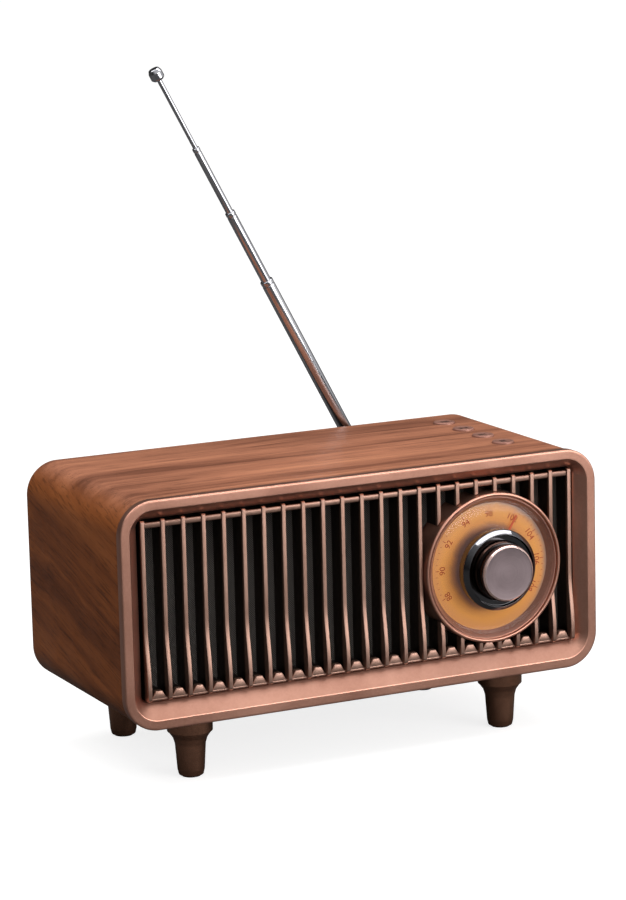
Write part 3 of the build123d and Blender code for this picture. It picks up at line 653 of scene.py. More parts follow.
class Finishes:
    """Every finish of the radio, made once."""

    def __init__(self) -> None:
        """Make the materials, centred on the dial where they have rings."""
        dial = middle("dial_scale")
        centre = (dial.x, 0.0, dial.z)
        radius = (corner_high("dial_scale").x - corner_low("dial_scale").x) / 2
        lean = math.atan2(
            middle("antenna_elbow").x - middle("antenna_tube_base").x,
            middle("antenna_tube_base").z - middle("antenna_elbow").z,
        )
        along_rod = (0.0, lean, 0.0)
        recipes = {
            Slot.WALNUT: Walnut(),
            Slot.COPPER: SatinMetal(srgb(206, 154, 134), srgb(192, 138, 118), 0.92, 0.28, 0.37),
            # Grille copper, with painted shade deepening to near black between the fins.
            Slot.GRILLE: CopperWithPaintedDepthShade(
                srgb(172, 137, 122), srgb(153, 118, 103), corner_low("front_frame").y
            ),
            Slot.CLOTH: WovenCloth(srgb(60, 58, 55), srgb(120, 114, 108)),
            Slot.PLASTIC: Moulded(srgb(30, 29, 29), srgb(21, 20, 21)),
            Slot.BASKET: DrawnMetal(srgb(120, 122, 126), srgb(90, 92, 96), (80, 80, 600), dull=0.4),
            Slot.PAPER: Moulded(srgb(48, 46, 44), srgb(34, 32, 31), 0.8, 0.95, 700, 0.0001),
            Slot.MAGNET: Moulded(srgb(46, 46, 50), srgb(32, 32, 36), 0.5, 0.7, 1500),
            Slot.SCREW: DrawnMetal(
                srgb(168, 168, 172), srgb(130, 130, 134), (500, 500, 500), dull=0.35,
            ),
            Slot.BLACK_SCREW: SatinMetal(srgb(42, 40, 40), srgb(26, 25, 25), 0.8, 0.3, 0.45),
            Slot.LENS: ClearPlate(),
            Slot.AMBER: AmberFace(centre, radius),
            Slot.DIFFUSER: Moulded(srgb(232, 226, 214), srgb(214, 206, 192), 0.5, 0.65),
            Slot.BOARD: CircuitBoard(),
            Slot.LAMP: Moulded(srgb(240, 234, 214), srgb(220, 206, 160), 0.35, 0.5),
            Slot.ENCODER: DrawnMetal(
                srgb(150, 150, 150), srgb(112, 112, 114), (400, 400, 60), dull=0.36,
            ),
            Slot.BRASS: DrawnMetal(srgb(196, 158, 92), srgb(158, 122, 66), (300, 900, 300), dull=0.34),
            Slot.BLACK_CHROME: SatinMetal(srgb(112, 111, 114), srgb(94, 93, 96), 1.0, 0.05, 0.1),
            Slot.BRONZE: SatinMetal(srgb(66, 48, 42), srgb(40, 28, 25), 1.0, 0.12, 0.24),
            Slot.CAP: SpunMetal(
                srgb(146, 130, 132), srgb(128, 112, 114), centre, 0.75, 0.34, 0.46,
                polish_from=10.55 * MM,
            ),
            Slot.RED: Moulded(srgb(255, 112, 64), srgb(236, 92, 48), 0.4, 0.5),
            Slot.BUTTON: SatinMetal(srgb(176, 128, 112), srgb(150, 104, 90), 0.4, 0.34, 0.46),
            Slot.FOOT: SatinMetal(srgb(186, 136, 110), srgb(152, 106, 84), 0.92, 0.18, 0.28),
            Slot.RUBBER: Moulded(srgb(32, 30, 30), srgb(22, 20, 20), 0.75, 0.9, 900, 0.00008),
            Slot.PINE: Moulded(srgb(206, 168, 116), srgb(180, 138, 86), 0.6, 0.75, 240, 0.0001),
            Slot.SOCKET: DrawnMetal(srgb(176, 176, 180), srgb(140, 140, 146), (60, 700, 60), dull=0.3),
            Slot.CHROME: DrawnMetal(
                srgb(214, 214, 218), srgb(176, 176, 182), (900, 900, 25), along_rod,
            ),
            Slot.WRAP: Moulded(srgb(60, 110, 160), srgb(42, 84, 128), 0.2, 0.35, 400, 0.00002),
        }
        self.made = {slot: recipe.make(slot.value) for slot, recipe in recipes.items()}
        self.ink = Moulded(srgb(214, 70, 30), srgb(190, 54, 22), 0.5, 0.6).make("dial_ink")
        self.icon = Moulded(srgb(40, 22, 18), srgb(26, 14, 12), 0.5, 0.65).make("icon_paint")

    def dress(self, piece: bpy.types.Object, material: bpy.types.Material) -> None:
        """Give a piece one material all over."""
        if not piece.material_slots:
            piece.data.materials.append(material)
        for place in piece.material_slots:
            place.material = material

    def dress_frame(self) -> None:
        """Give every CAD node the finish that the record names for it."""
        for part in frame["record"]["subparts"]:
            self.dress(frame["nodes"][part["node"]], self.made[Slot(part["material_slot"])])


# ------------------------------------------------------------------ bench


def softened(points: Sequence[RoundedPoint], steps: int = 4, closed: bool = False) -> list[Point]:
    """Round the corners of an outline.

    Args:
        points: corners as (across, along, radius of the round).
        steps: faces in each round.
        closed: whether the last corner joins the first.

    Returns:
        The outline with each corner that has a radius drawn as an arc.
    """
    path: list[Point] = []
    count = len(points)
    for k, (a, b, radius) in enumerate(points):
        ends = not closed and k in (0, count - 1)
        if radius <= 0 or ends:
            path.append((a, b))
            continue
        here = Vector((a, b))
        back = Vector(points[k - 1][:2]) - here
        on = Vector(points[(k + 1) % count][:2]) - here
        angle = back.angle(on)
        reach = min(radius / math.tan(angle / 2), 0.49 * back.length, 0.49 * on.length)
        true_radius = reach * math.tan(angle / 2)
        inwards = (back.normalized() + on.normalized()).normalized()
        hub = here + inwards * (true_radius / math.sin(angle / 2))
        start = here + back.normalized() * reach - hub
        sweep = start.angle_signed(here + on.normalized() * reach - hub)
        for step in range(steps + 1):
            turn = -sweep * step / steps
            path.append((
                hub.x + start.x * math.cos(turn) - start.y * math.sin(turn),
                hub.y + start.x * math.sin(turn) + start.y * math.cos(turn),
            ))
    return path


@dataclass(frozen=True)
class Section:
    """Rounded rectangle across the radio, in millimetres."""

    half_width: float
    low: float
    high: float
    radius: float
    depth: float

    def shrunk(self, by: float, depth: float) -> "Section":
        """Same rectangle, smaller by an even margin, at another depth."""
        radius = max(self.radius - by, 0.4)
        return Section(self.half_width - by, self.low + by, self.high - by, radius, depth)

    def hubs(self) -> dict[Point, Vector]:
        """Find the centres of the four corner rounds.

        Returns:
            Each corner's side across and up, as -1 or 1, with its centre in metres.
        """
        across = self.half_width - self.radius
        heights = {-1: self.low + self.radius, 1: self.high - self.radius}
        return {
            (sx, sz): Vector((sx * across, self.depth, height)) * MM
            for sx in (-1, 1) for sz, height in heights.items()
        }


class Bench:
    """Modelling bench: puts plain forms down and shapes them in edit mode and by modifiers."""

    facing = Matrix.Rotation(-math.pi / 2, 4, "X")

    @staticmethod
    def clear() -> None:
        """Deselect everything."""
        bpy.ops.object.select_all(action="DESELECT")

    @classmethod
    def take(cls, *pieces: bpy.types.Object) -> None:
        """Select these pieces alone, the first one active."""
        cls.clear()
        for piece in pieces:
            piece.select_set(True)
        bpy.context.view_layer.objects.active = pieces[0]

    @classmethod
    @contextmanager
    def editing(cls, piece: bpy.types.Object, everything: bool = True) -> Iterator[None]:
        """Open a piece in edit mode.

        Args:
            piece: the piece to open.
            everything: whether all of it starts selected, or else none of it.

        Returns:
            A context that closes the piece again.
        """
        cls.take(piece)
        bpy.ops.object.mode_set(mode="EDIT")
        bpy.ops.mesh.select_mode(type="VERT")
        bpy.ops.mesh.select_all(action="SELECT" if everything else "DESELECT")
        yield
        bpy.ops.object.mode_set(mode="OBJECT")

    @staticmethod
    def choose(test: Callable[[Vector], bool]) -> None:
        """Select vertices of the open piece.

        Args:
            test: whether a vertex at a place is selected.
        """
        mesh = bmesh.from_edit_mesh(bpy.context.object.data)
        for vertex in mesh.verts:
            vertex.select_set(test(vertex.co))
        mesh.select_flush_mode()
        bmesh.update_edit_mesh(bpy.context.object.data)

    @classmethod
    def taper(
        cls, piece: bpy.types.Object, test: Callable[[Vector], bool], size: Sequence[float],
        centre: Sequence[float] = (0, 0, 0),
    ) -> None:
        """Scale the vertices that pass a test, about a centre in metres."""
        with cls.editing(piece, everything=False):
            cls.choose(test)
            bpy.ops.transform.resize(value=size, center_override=centre)

    @classmethod
    def settle(cls, piece: bpy.types.Object, place: Optional[Matrix] = None) -> bpy.types.Object:
        """Put a piece in place and apply that to its mesh, so that its object sits at the origin.

        Args:
            piece: the piece to place.
            place: where it goes, or None to stay.

        Returns:
            The same piece.
        """
        cls.take(piece)
        if place is not None:
            piece.matrix_world = place @ piece.matrix_world
        bpy.ops.object.transform_apply(location=True, rotation=True, scale=True)
        return piece

    @classmethod
    def block(cls, size: Sequence[float], centre: Sequence[float] = (0, 0, 0)) -> bpy.types.Object:
        """Put down a rectangular block.

        Args:
            size: its size along each axis, in millimetres.
            centre: its centre, in millimetres.

        Returns:
            The new block.
        """
        cls.clear()
        bpy.ops.mesh.primitive_cube_add(size=1)
        piece = bpy.context.object
        piece.scale = tuple(side * MM for side in size)
        piece.location = tuple(spot * MM for spot in centre)
        return cls.settle(piece)

    @classmethod
    def smooth(cls, piece: bpy.types.Object, angle: float = 32.0) -> bpy.types.Object:
        """Smooth a piece across its shallow edges.

        Args:
            piece: the piece to smooth.
            angle: the steepest edge that is smoothed, in degrees.

        Returns:
            The same piece.
        """
        cls.take(piece)
        bpy.ops.object.shade_smooth_by_angle(angle=math.radians(angle))
        return piece

    @classmethod
    def tidy(cls, piece: bpy.types.Object, angle: float = 32.0) -> bpy.types.Object:
        """Merge doubles, turn the faces outwards and smooth the piece, and return it."""
        with cls.editing(piece):
            bpy.ops.mesh.remove_doubles(threshold=MERGE)
            bpy.ops.mesh.normals_make_consistent(inside=False)
        return cls.smooth(piece, angle)

    @classmethod
    def modify(cls, piece: bpy.types.Object, kind: str, **settings: object) -> None:
        """Add a modifier and apply it.

        Args:
            piece: the piece to change.
            kind: the modifier's type.
            settings: the modifier's own options.
        """
        cls.take(piece)
        modifier = piece.modifiers.new(kind.title(), kind)
        for key, value in settings.items():
            setattr(modifier, key, value)
        bpy.ops.object.modifier_apply(modifier=modifier.name)

    @classmethod
    def bevel(
        cls, piece: bpy.types.Object, width: float, segments: int = 2, angle: float = 35.0
    ) -> None:
        """Round every edge sharper than an angle, by a width in millimetres."""
        cls.modify(
            piece, "BEVEL", width=width * MM, segments=segments, limit_method="ANGLE",
            angle_limit=math.radians(angle), use_clamp_overlap=True, miter_outer="MITER_ARC",
        )

    @staticmethod
    def drop(piece: bpy.types.Object) -> None:
        """Take a piece off the bench."""
        bpy.data.objects.remove(piece, do_unlink=True)

    @classmethod
    def cut(cls, piece: bpy.types.Object, cutter: bpy.types.Object) -> None:
        """Cut a cutter's shape out of a piece, then drop the cutter."""
        cls.modify(
            piece, "BOOLEAN", object=cutter, operation="DIFFERENCE", solver="EXACT", use_self=True
        )
        cls.drop(cutter)

    @classmethod
    def drill(
        cls, piece: bpy.types.Object, spot: Sequence[float], radius: float, depth: float,
        sides: int = 128, tilt: float = math.pi / 2,
    ) -> None:
        """Cut a round hole.

        Args:
            piece: the piece to cut.
            spot: middle of the hole, in metres.
            radius: radius of the hole, in millimetres.
            depth: length of the drill, in millimetres.
            sides: faces around the hole.
            tilt: turn of the drill about X from upright, in radians.
        """
        bpy.ops.mesh.primitive_cylinder_add(
            vertices=sides, radius=radius * MM, depth=depth * MM, location=tuple(spot),
            rotation=(tilt, 0, 0),
        )
        cls.cut(piece, bpy.context.object)

    @classmethod
    def copies(cls, pattern: bpy.types.Object, places: Sequence[Matrix]) -> list[bpy.types.Object]:
        """Copy a pattern to several places, then drop it.

        Args:
            pattern: the piece to copy.
            places: where each copy goes.

        Returns:
            The copies, each with its own mesh.
        """
        made = []
        for place in places:
            cls.take(pattern)
            bpy.ops.object.duplicate(linked=False)
            made.append(cls.settle(bpy.context.object, place))
        cls.drop(pattern)
        return made

    @classmethod
    def joined(cls, pieces: Sequence[bpy.types.Object], name: str) -> bpy.types.Object:
        """Join pieces into one.

        Args:
            pieces: the pieces, at least one.
            name: name of the joined piece and of its mesh.

        Returns:
            The joined piece.
        """
        cls.take(*pieces)
        if len(pieces) > 1:
            bpy.ops.object.join()
        whole = bpy.context.object
        whole.name = name
        whole.data.name = name
        return whole

    @staticmethod
    def draw_out(step: Sequence[float]) -> None:
        """Extrude the selected edges of the open piece by a step in metres."""
        bpy.ops.mesh.extrude_edges_move(TRANSFORM_OT_translate={"value": step})

    @classmethod
    def turned(
        cls, name: str, path: Sequence[Point], place: Matrix, ring: bool = False, segments: int = 96
    ) -> bpy.types.Object:
        """Turn an outline about an axis, as on a lathe.

        Args:
            name: the piece's name.
            path: outline as (radius, height) in millimetres, every radius above zero.
            place: where the axis stands, its local Z along the axis.
            ring: whether the outline closes on itself, or else has a flat end at each side.
            segments: faces around the axis.

        Returns:
            The new piece.
        """
        cls.clear()
        radius, height = path[0]
        bpy.ops.mesh.primitive_circle_add(
            vertices=segments, radius=radius * MM, fill_type="NOTHING"
        )
        piece = bpy.context.object
        piece.name = name
        with cls.editing(piece):
            bpy.ops.transform.translate(value=(0, 0, height * MM))
            for far, rise in list(path[1:]) + ([path[0]] if ring else []):
                cls.draw_out((0, 0, (rise - height) * MM))
                size = far / radius
                bpy.ops.transform.resize(value=(size, size, 1), center_override=(0, 0, rise * MM))
                radius, height = far, rise
            bpy.ops.mesh.select_all(action="SELECT")
            if ring:
                bpy.ops.mesh.remove_doubles(threshold=MERGE)
            else:
                bpy.ops.mesh.fill_holes(sides=0)
        cls.tidy(piece)
        return cls.settle(piece, place)

    @classmethod
    def lofted(cls, name: str, sections: Sequence[Section], segments: int = 14) -> bpy.types.Object:
        """Draw a skin through rounded rectangles, the last one joined to the first.

        Args:
            name: the piece's name.
            sections: the rectangles in order.
            segments: faces in each corner.

        Returns:
            The new closed piece.
        """
        cls.clear()
        now = sections[0]
        centre = (0, now.depth * MM, (now.low + now.high) / 2 * MM)
        bpy.ops.mesh.primitive_plane_add(size=1, rotation=(math.pi / 2, 0, 0), location=centre)
        piece = bpy.context.object
        piece.name = name
        piece.scale = (2 * now.half_width * MM, (now.high - now.low) * MM, 1)
        cls.settle(piece)
        with cls.editing(piece):
            bpy.ops.mesh.bevel(
                offset_type="OFFSET", offset=now.radius * MM, segments=segments, profile=0.5,
                affect="VERTICES", clamp_overlap=False,
            )
            bpy.ops.mesh.select_all(action="SELECT")
            bpy.ops.mesh.delete(type="ONLY_FACE")
            bpy.ops.mesh.select_all(action="SELECT")
            for then in list(sections[1:]) + [sections[0]]:
                cls.draw_out((0, (then.depth - now.depth) * MM, 0))
                cls.reshape(now, then)
                now = then
            bpy.ops.mesh.select_all(action="SELECT")
            bpy.ops.mesh.remove_doubles(threshold=MERGE)
        return cls.tidy(piece)

    @staticmethod
    def reshape(now: Section, then: Section) -> None:
        """Move the four corners of the newest loop.

        Args:
            now: the section that the loop has.
            then: the section that it gets.
        """
        if replace(now, depth=then.depth) == then:
            return
        mesh = bmesh.from_edit_mesh(bpy.context.object.data)
        mid = (now.low + now.high) / 2 * MM
        loop = [v for v in mesh.verts if v.select]
        size = then.radius / now.radius
        new_hubs = then.hubs()
        for (sx, sz), hub in now.hubs().items():
            for vertex in mesh.verts:
                vertex.select_set(False)
            for vertex in loop:
                if vertex.co.x * sx > 0 and (vertex.co.z - mid) * sz > 0:
                    vertex.select_set(True)
            bmesh.update_edit_mesh(bpy.context.object.data)
            place = (hub.x, then.depth * MM, hub.z)
            bpy.ops.transform.resize(value=(size, 1, size), center_override=place)
            target = new_hubs[(sx, sz)]
            bpy.ops.transform.translate(value=(target.x - hub.x, 0, target.z - hub.z))
            mesh = bmesh.from_edit_mesh(bpy.context.object.data)
        for vertex in loop:
            vertex.select_set(True)
        mesh.select_flush_mode()
        bmesh.update_edit_mesh(bpy.context.object.data)


class Sign(Enum):
    """Generic signs on the four buttons, in their order."""

    MODE = "mode"
    PREVIOUS = "previous"
    PLAY = "play"
    NEXT = "next"


@dataclass
class SubAssembly:
    """Group of pieces that are modelled and dressed together."""

    finishes: Finishes
    pieces: list[bpy.types.Object] = field(default_factory=list, init=False)

    def fit(
        self,
        piece: bpy.types.Object,
        body: str,
        slot: Slot,
        nodes: Sequence[str] = (),
        material: Optional[bpy.types.Material] = None,
    ) -> bpy.types.Object:
        """Dress a finished piece and hang it on its body.

        Args:
            piece: the mesh, in place.
            body: the CAD body that carries it.
            slot: the record's slot for its finish.
            nodes: CAD nodes that it stands for.
            material: another material than the slot's own.

        Returns:
            The piece.
        """
        self.finishes.dress(piece, material or self.finishes.made[slot])
        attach(piece, body)
        if nodes:
            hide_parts(*nodes)
        self.pieces.append(piece)
        return piece

    def build(self) -> None:
        """Model and dress every piece of the group."""
        raise NotImplementedError


# ------------------------------------------------------------------ cabinet and front frame


@dataclass
class Cabinet(SubAssembly):
    """Walnut shell, open at the front and the back, with holes for the four buttons."""

    radius: float = 13.5
    wall: float = 4.4
    front_round: float = 0.5
    back_round: float = 3.0
    inner_round: float = 0.4
    button_hole: float = 4.65

    def build(self) -> None:
        """Model the shell and cut its holes."""
        low, high = (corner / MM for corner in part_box("cabinet_shell"))
        outer = Section((high.x - low.x) / 2, low.z, high.z, self.radius, low.y)
        path = softened([
            (0, low.y, self.front_round), (0, high.y, self.back_round),
            (self.wall, high.y, self.inner_round), (self.wall, low.y, self.inner_round),
        ], steps=6, closed=True)
        sections = [outer.shrunk(by, depth) for by, depth in path]
        shell = Bench.lofted("cabinet_shell_veneer", sections, 18)
        for kind in Sign:
            spot = middle(f"{kind.value}_button")
            hole = (spot.x, spot.y, high.z * MM)
            Bench.drill(shell, hole, self.button_hole, 2 * self.wall, sides=64, tilt=0.0)
        self.fit(Bench.smooth(shell), "radio", Slot.WALNUT, ["cabinet_shell"])


@dataclass
class FrontFrame(SubAssembly):
    """Copper tray: a rounded rim, sloping inner walls and a spigot inside the wood."""

    corner: float = 14.0
    rim: float = 3.9
    rim_round: float = 1.0
    lip_round: float = 0.5
    flat_start: float = 0.15
    tray: float = 4.5
    throat_side: float = 8.5
    throat_top: float = 7.9
    throat_bottom: float = 10.5
    throat_radius: float = 3.0
    flange: float = 4.0
    spigot: float = 5.0
    back_gap: float = 0.35

    def inward(self, inset: float, depth: float) -> Section:
        """Section of the tray's walls, even across the rim and sloping past it.

        Args:
            inset: how far in from the outer side.
            depth: how far back.

        Returns:
            The section at that inset and depth.
        """
        past = max(inset - self.rim, 0.0) / (self.throat_side - self.rim)
        even = min(inset, self.rim)
        rim_radius = self.corner - even
        return Section(
            self.half - inset,
            self.low + even + past * (self.throat_bottom - self.rim),
            self.high - even - past * (self.throat_top - self.rim),
            rim_radius + past * (self.throat_radius - rim_radius),
            depth,
        )

    def build(self) -> None:
        """Model the frame in one skin."""
        low, high = (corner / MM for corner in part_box("front_frame"))
        self.half, self.low, self.high = (high.x - low.x) / 2, low.z, high.z
        front, back = low.y, high.y
        walls = softened([
            (self.back_gap, front + self.flange, 0), (0, front + self.flange - self.back_gap, 0),
            (0, front, self.rim_round), (self.rim_round + self.flat_start, front, 0),
            (self.rim - self.lip_round - self.flat_start, front, 0), (self.rim, front, self.lip_round),
            (self.throat_side, front + self.tray, self.lip_round), (self.throat_side, back, 0),
        ], steps=6)
        outer = Section(self.half, self.low, self.high, self.corner, front)
        sections = [self.inward(inset, depth) for inset, depth in walls]
        sections += [outer.shrunk(self.spigot, back), outer.shrunk(self.spigot, front + self.flange)]
        tray = Bench.lofted("front_frame_tray", sections, 18)
        self.fit(tray, "radio", Slot.COPPER, ["front_frame"])


# ------------------------------------------------------------------ grille and cloth


@dataclass
class Grille(SubAssembly):
    """Row of upright fins that curve forward to their feet, with a rail above and a comb below."""

    count: int = 23
    thickness: float = 1.6
    upper: float = 2.9
    lower: float = 0.6
    bend_top: float = 40.0
    bend_low: float = 16.0
    foot_round: float = 1.2
    top_round: float = 0.5
    foot_steps: int = 4
    bend_steps: int = 14
    edge_round: float = 0.5
    rail_front: float = 3.5
    rail_height: float = 2.3
    rail_drop: float = 0.85
    comb_front: float = 2.0
    comb_height: float = 0.9
    tooth_height: float = 3.0
    tooth_foot: float = 6.6
    tooth_tip: float = 2.8
    tooth_sink: float = 0.3
    dial_gap: float = 0.3

    def fin_path(self) -> list[Point]:
        """Draw the front edge of a fin.

        Returns:
            The edge from the foot to the top, as (depth behind the front, height).
        """
        path = []
        for step in range(self.foot_steps + 1):
            turn = math.radians(90 * step / self.foot_steps)
            path.append((
                self.lower + self.foot_round * (1 - math.sin(turn)),
                self.foot + self.foot_round * (1 - math.cos(turn)),
            ))
        for step in range(self.bend_steps + 1):
            share = step / self.bend_steps
            ease = share * share * (3 - 2 * share)
            path.append((
                self.lower + (self.upper - self.lower) * ease,
                self.base + self.bend_low + (self.bend_top - self.bend_low) * share,
            ))
        path.append((self.upper, self.top - self.top_round))
        path.append((self.upper + self.top_round, self.top))
        return path

    def fin(self) -> bpy.types.Object:
        """Draw one fin in the radio's middle plane, up from its foot edge by edge.

        Returns:
            The new fin.
        """
        path = self.fin_path()
        depth, height = path[0]
        Bench.clear()
        bpy.ops.mesh.primitive_plane_add(size=1, rotation=(0, math.pi / 2, 0), location=(0, 0, 0))
        piece = bpy.context.object
        Bench.settle(piece)
        back = self.front + self.back
        with Bench.editing(piece, everything=False):
            Bench.choose(lambda spot: spot.z > 0)
            bpy.ops.mesh.delete(type="VERT")
            bpy.ops.mesh.select_all(action="SELECT")
            bpy.ops.transform.translate(value=(0, back * MM - 0.5, height * MM + 0.5))
            size = (self.back - depth) * MM
            bpy.ops.transform.resize(value=(1, size, 1), center_override=(0, back * MM, height * MM))
            for near, rise in path[1:]:
                Bench.draw_out((0, 0, (rise - height) * MM))
                wider = (self.back - near) / (self.back - depth)
                centre = (0, back * MM, rise * MM)
                bpy.ops.transform.resize(value=(1, wider, 1), center_override=centre)
                depth, height = near, rise
        Bench.modify(piece, "SOLIDIFY", thickness=self.thickness * MM, offset=0.0)
        Bench.bevel(piece, self.edge_round, 3, 40)
        return Bench.tidy(piece, 50)

    def tooth(self) -> bpy.types.Object:
        """Cut one tooth of the comb, widest at its foot.

        Returns:
            The new tooth, its foot sunk in the bar below.
        """
        deep = self.back - self.comb_front
        half_up = self.foot + self.comb_height + self.tooth_height / 2
        piece = Bench.block(
            (self.tooth_foot, deep, self.tooth_height),
            (0, self.front + self.comb_front + deep / 2, half_up),
        )
        narrower = self.tooth_tip / self.tooth_foot
        Bench.taper(piece, lambda spot: spot.z > half_up * MM, (narrower, 1, 1))
        with Bench.editing(piece, everything=False):
            Bench.choose(lambda spot: spot.z < half_up * MM)
            bpy.ops.transform.translate(value=(0, 0, -self.tooth_sink * MM))
        Bench.bevel(piece, 0.45, 3, 30)
        return Bench.tidy(piece, 40)

    def bar(self, near: float, low: float, high: float, rounding: float) -> bpy.types.Object:
        """Lay a straight bar behind the fins, as long as the row.

        Args:
            near: how far its front lies behind the frame's front.
            low: height of its underside.
            high: height of its top.
            rounding: how far its edges are rounded.

        Returns:
            The new bar.
        """
        piece = Bench.block(
            (self.span, self.back - near, high - low),
            (0, self.front + (near + self.back) / 2, (low + high) / 2),
        )
        Bench.bevel(piece, rounding, 3, 40)
        return Bench.tidy(piece, 40)

    def clear_dial(self, piece: bpy.types.Object) -> None:
        """Cut room for the dial's rim and its gap.

        Args:
            piece: the piece to cut.
        """
        low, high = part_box("dial_bezel")
        radius = (high.x - low.x) / 2 / MM + self.dial_gap
        Bench.drill(piece, middle("dial_bezel"), radius, 60)

    def build(self) -> None:
        """Model one fin and one tooth, repeat them, and clear the dial."""
        low, high = (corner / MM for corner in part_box("grille"))
        self.front = corner_low("front_frame").y / MM
        self.base = corner_low("front_frame").z / MM
        self.back = high.y - self.front
        self.foot, self.top = low.z, high.z
        self.span = (high.x - low.x) - self.thickness
        pitch = self.span / (self.count - 1)
        spots = [pitch * k - self.span / 2 for k in range(self.count)]

        fins = Bench.copies(self.fin(), [Matrix.Translation((x * MM, 0, 0)) for x in spots])
        row = Bench.joined(fins, "grille_fins")
        self.clear_dial(row)
        self.fit(row, "radio", Slot.GRILLE, ["grille"])

        rail_low = self.top - self.rail_height - self.rail_drop
        rail = self.bar(self.rail_front, rail_low, rail_low + self.rail_height, 0.5)
        rail.name = "grille_rail"
        self.fit(rail, "radio", Slot.GRILLE, ["grille"])

        gaps = [Matrix.Translation(((x + pitch / 2) * MM, 0, 0)) for x in spots[:-1]]
        teeth = Bench.copies(self.tooth(), gaps)
        strip = self.bar(self.comb_front, self.foot, self.foot + self.comb_height, 0.3)
        comb = Bench.joined([strip, *teeth], "grille_comb")
        self.clear_dial(comb)
        self.fit(comb, "radio", Slot.GRILLE, ["grille"])


@dataclass
class SpeakerCloth(SubAssembly):
    """Black cloth stretched over the front board, with a round hole for the dial."""

    columns: int = 100
    rows: int = 40
    hole: float = 31.1
    fullness: float = 0.9

    def build(self) -> None:
        """Model the cloth and cut the dial's hole through it."""
        low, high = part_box("speaker_cloth")
        thickness = high.y - low.y
        width, tall = high.x - low.x, high.z - low.z
        Bench.clear()
        bpy.ops.mesh.primitive_grid_add(
            x_subdivisions=self.columns, y_subdivisions=self.rows, size=1,
            rotation=(math.pi / 2, 0, 0), location=tuple(middle("speaker_cloth")),
        )
        cloth = bpy.context.object
        cloth.name = "speaker_cloth_weave"
        cloth.scale = (width, tall, 1)
        Bench.settle(cloth)
        Bench.modify(cloth, "SOLIDIFY", thickness=thickness * self.fullness, offset=0.0)
        Bench.drill(cloth, middle("dial_bezel"), self.hole, 20)
        Bench.tidy(cloth)
        self.fit(cloth, "radio", Slot.CLOTH, ["speaker_cloth"])


# ------------------------------------------------------------------ dial and knob


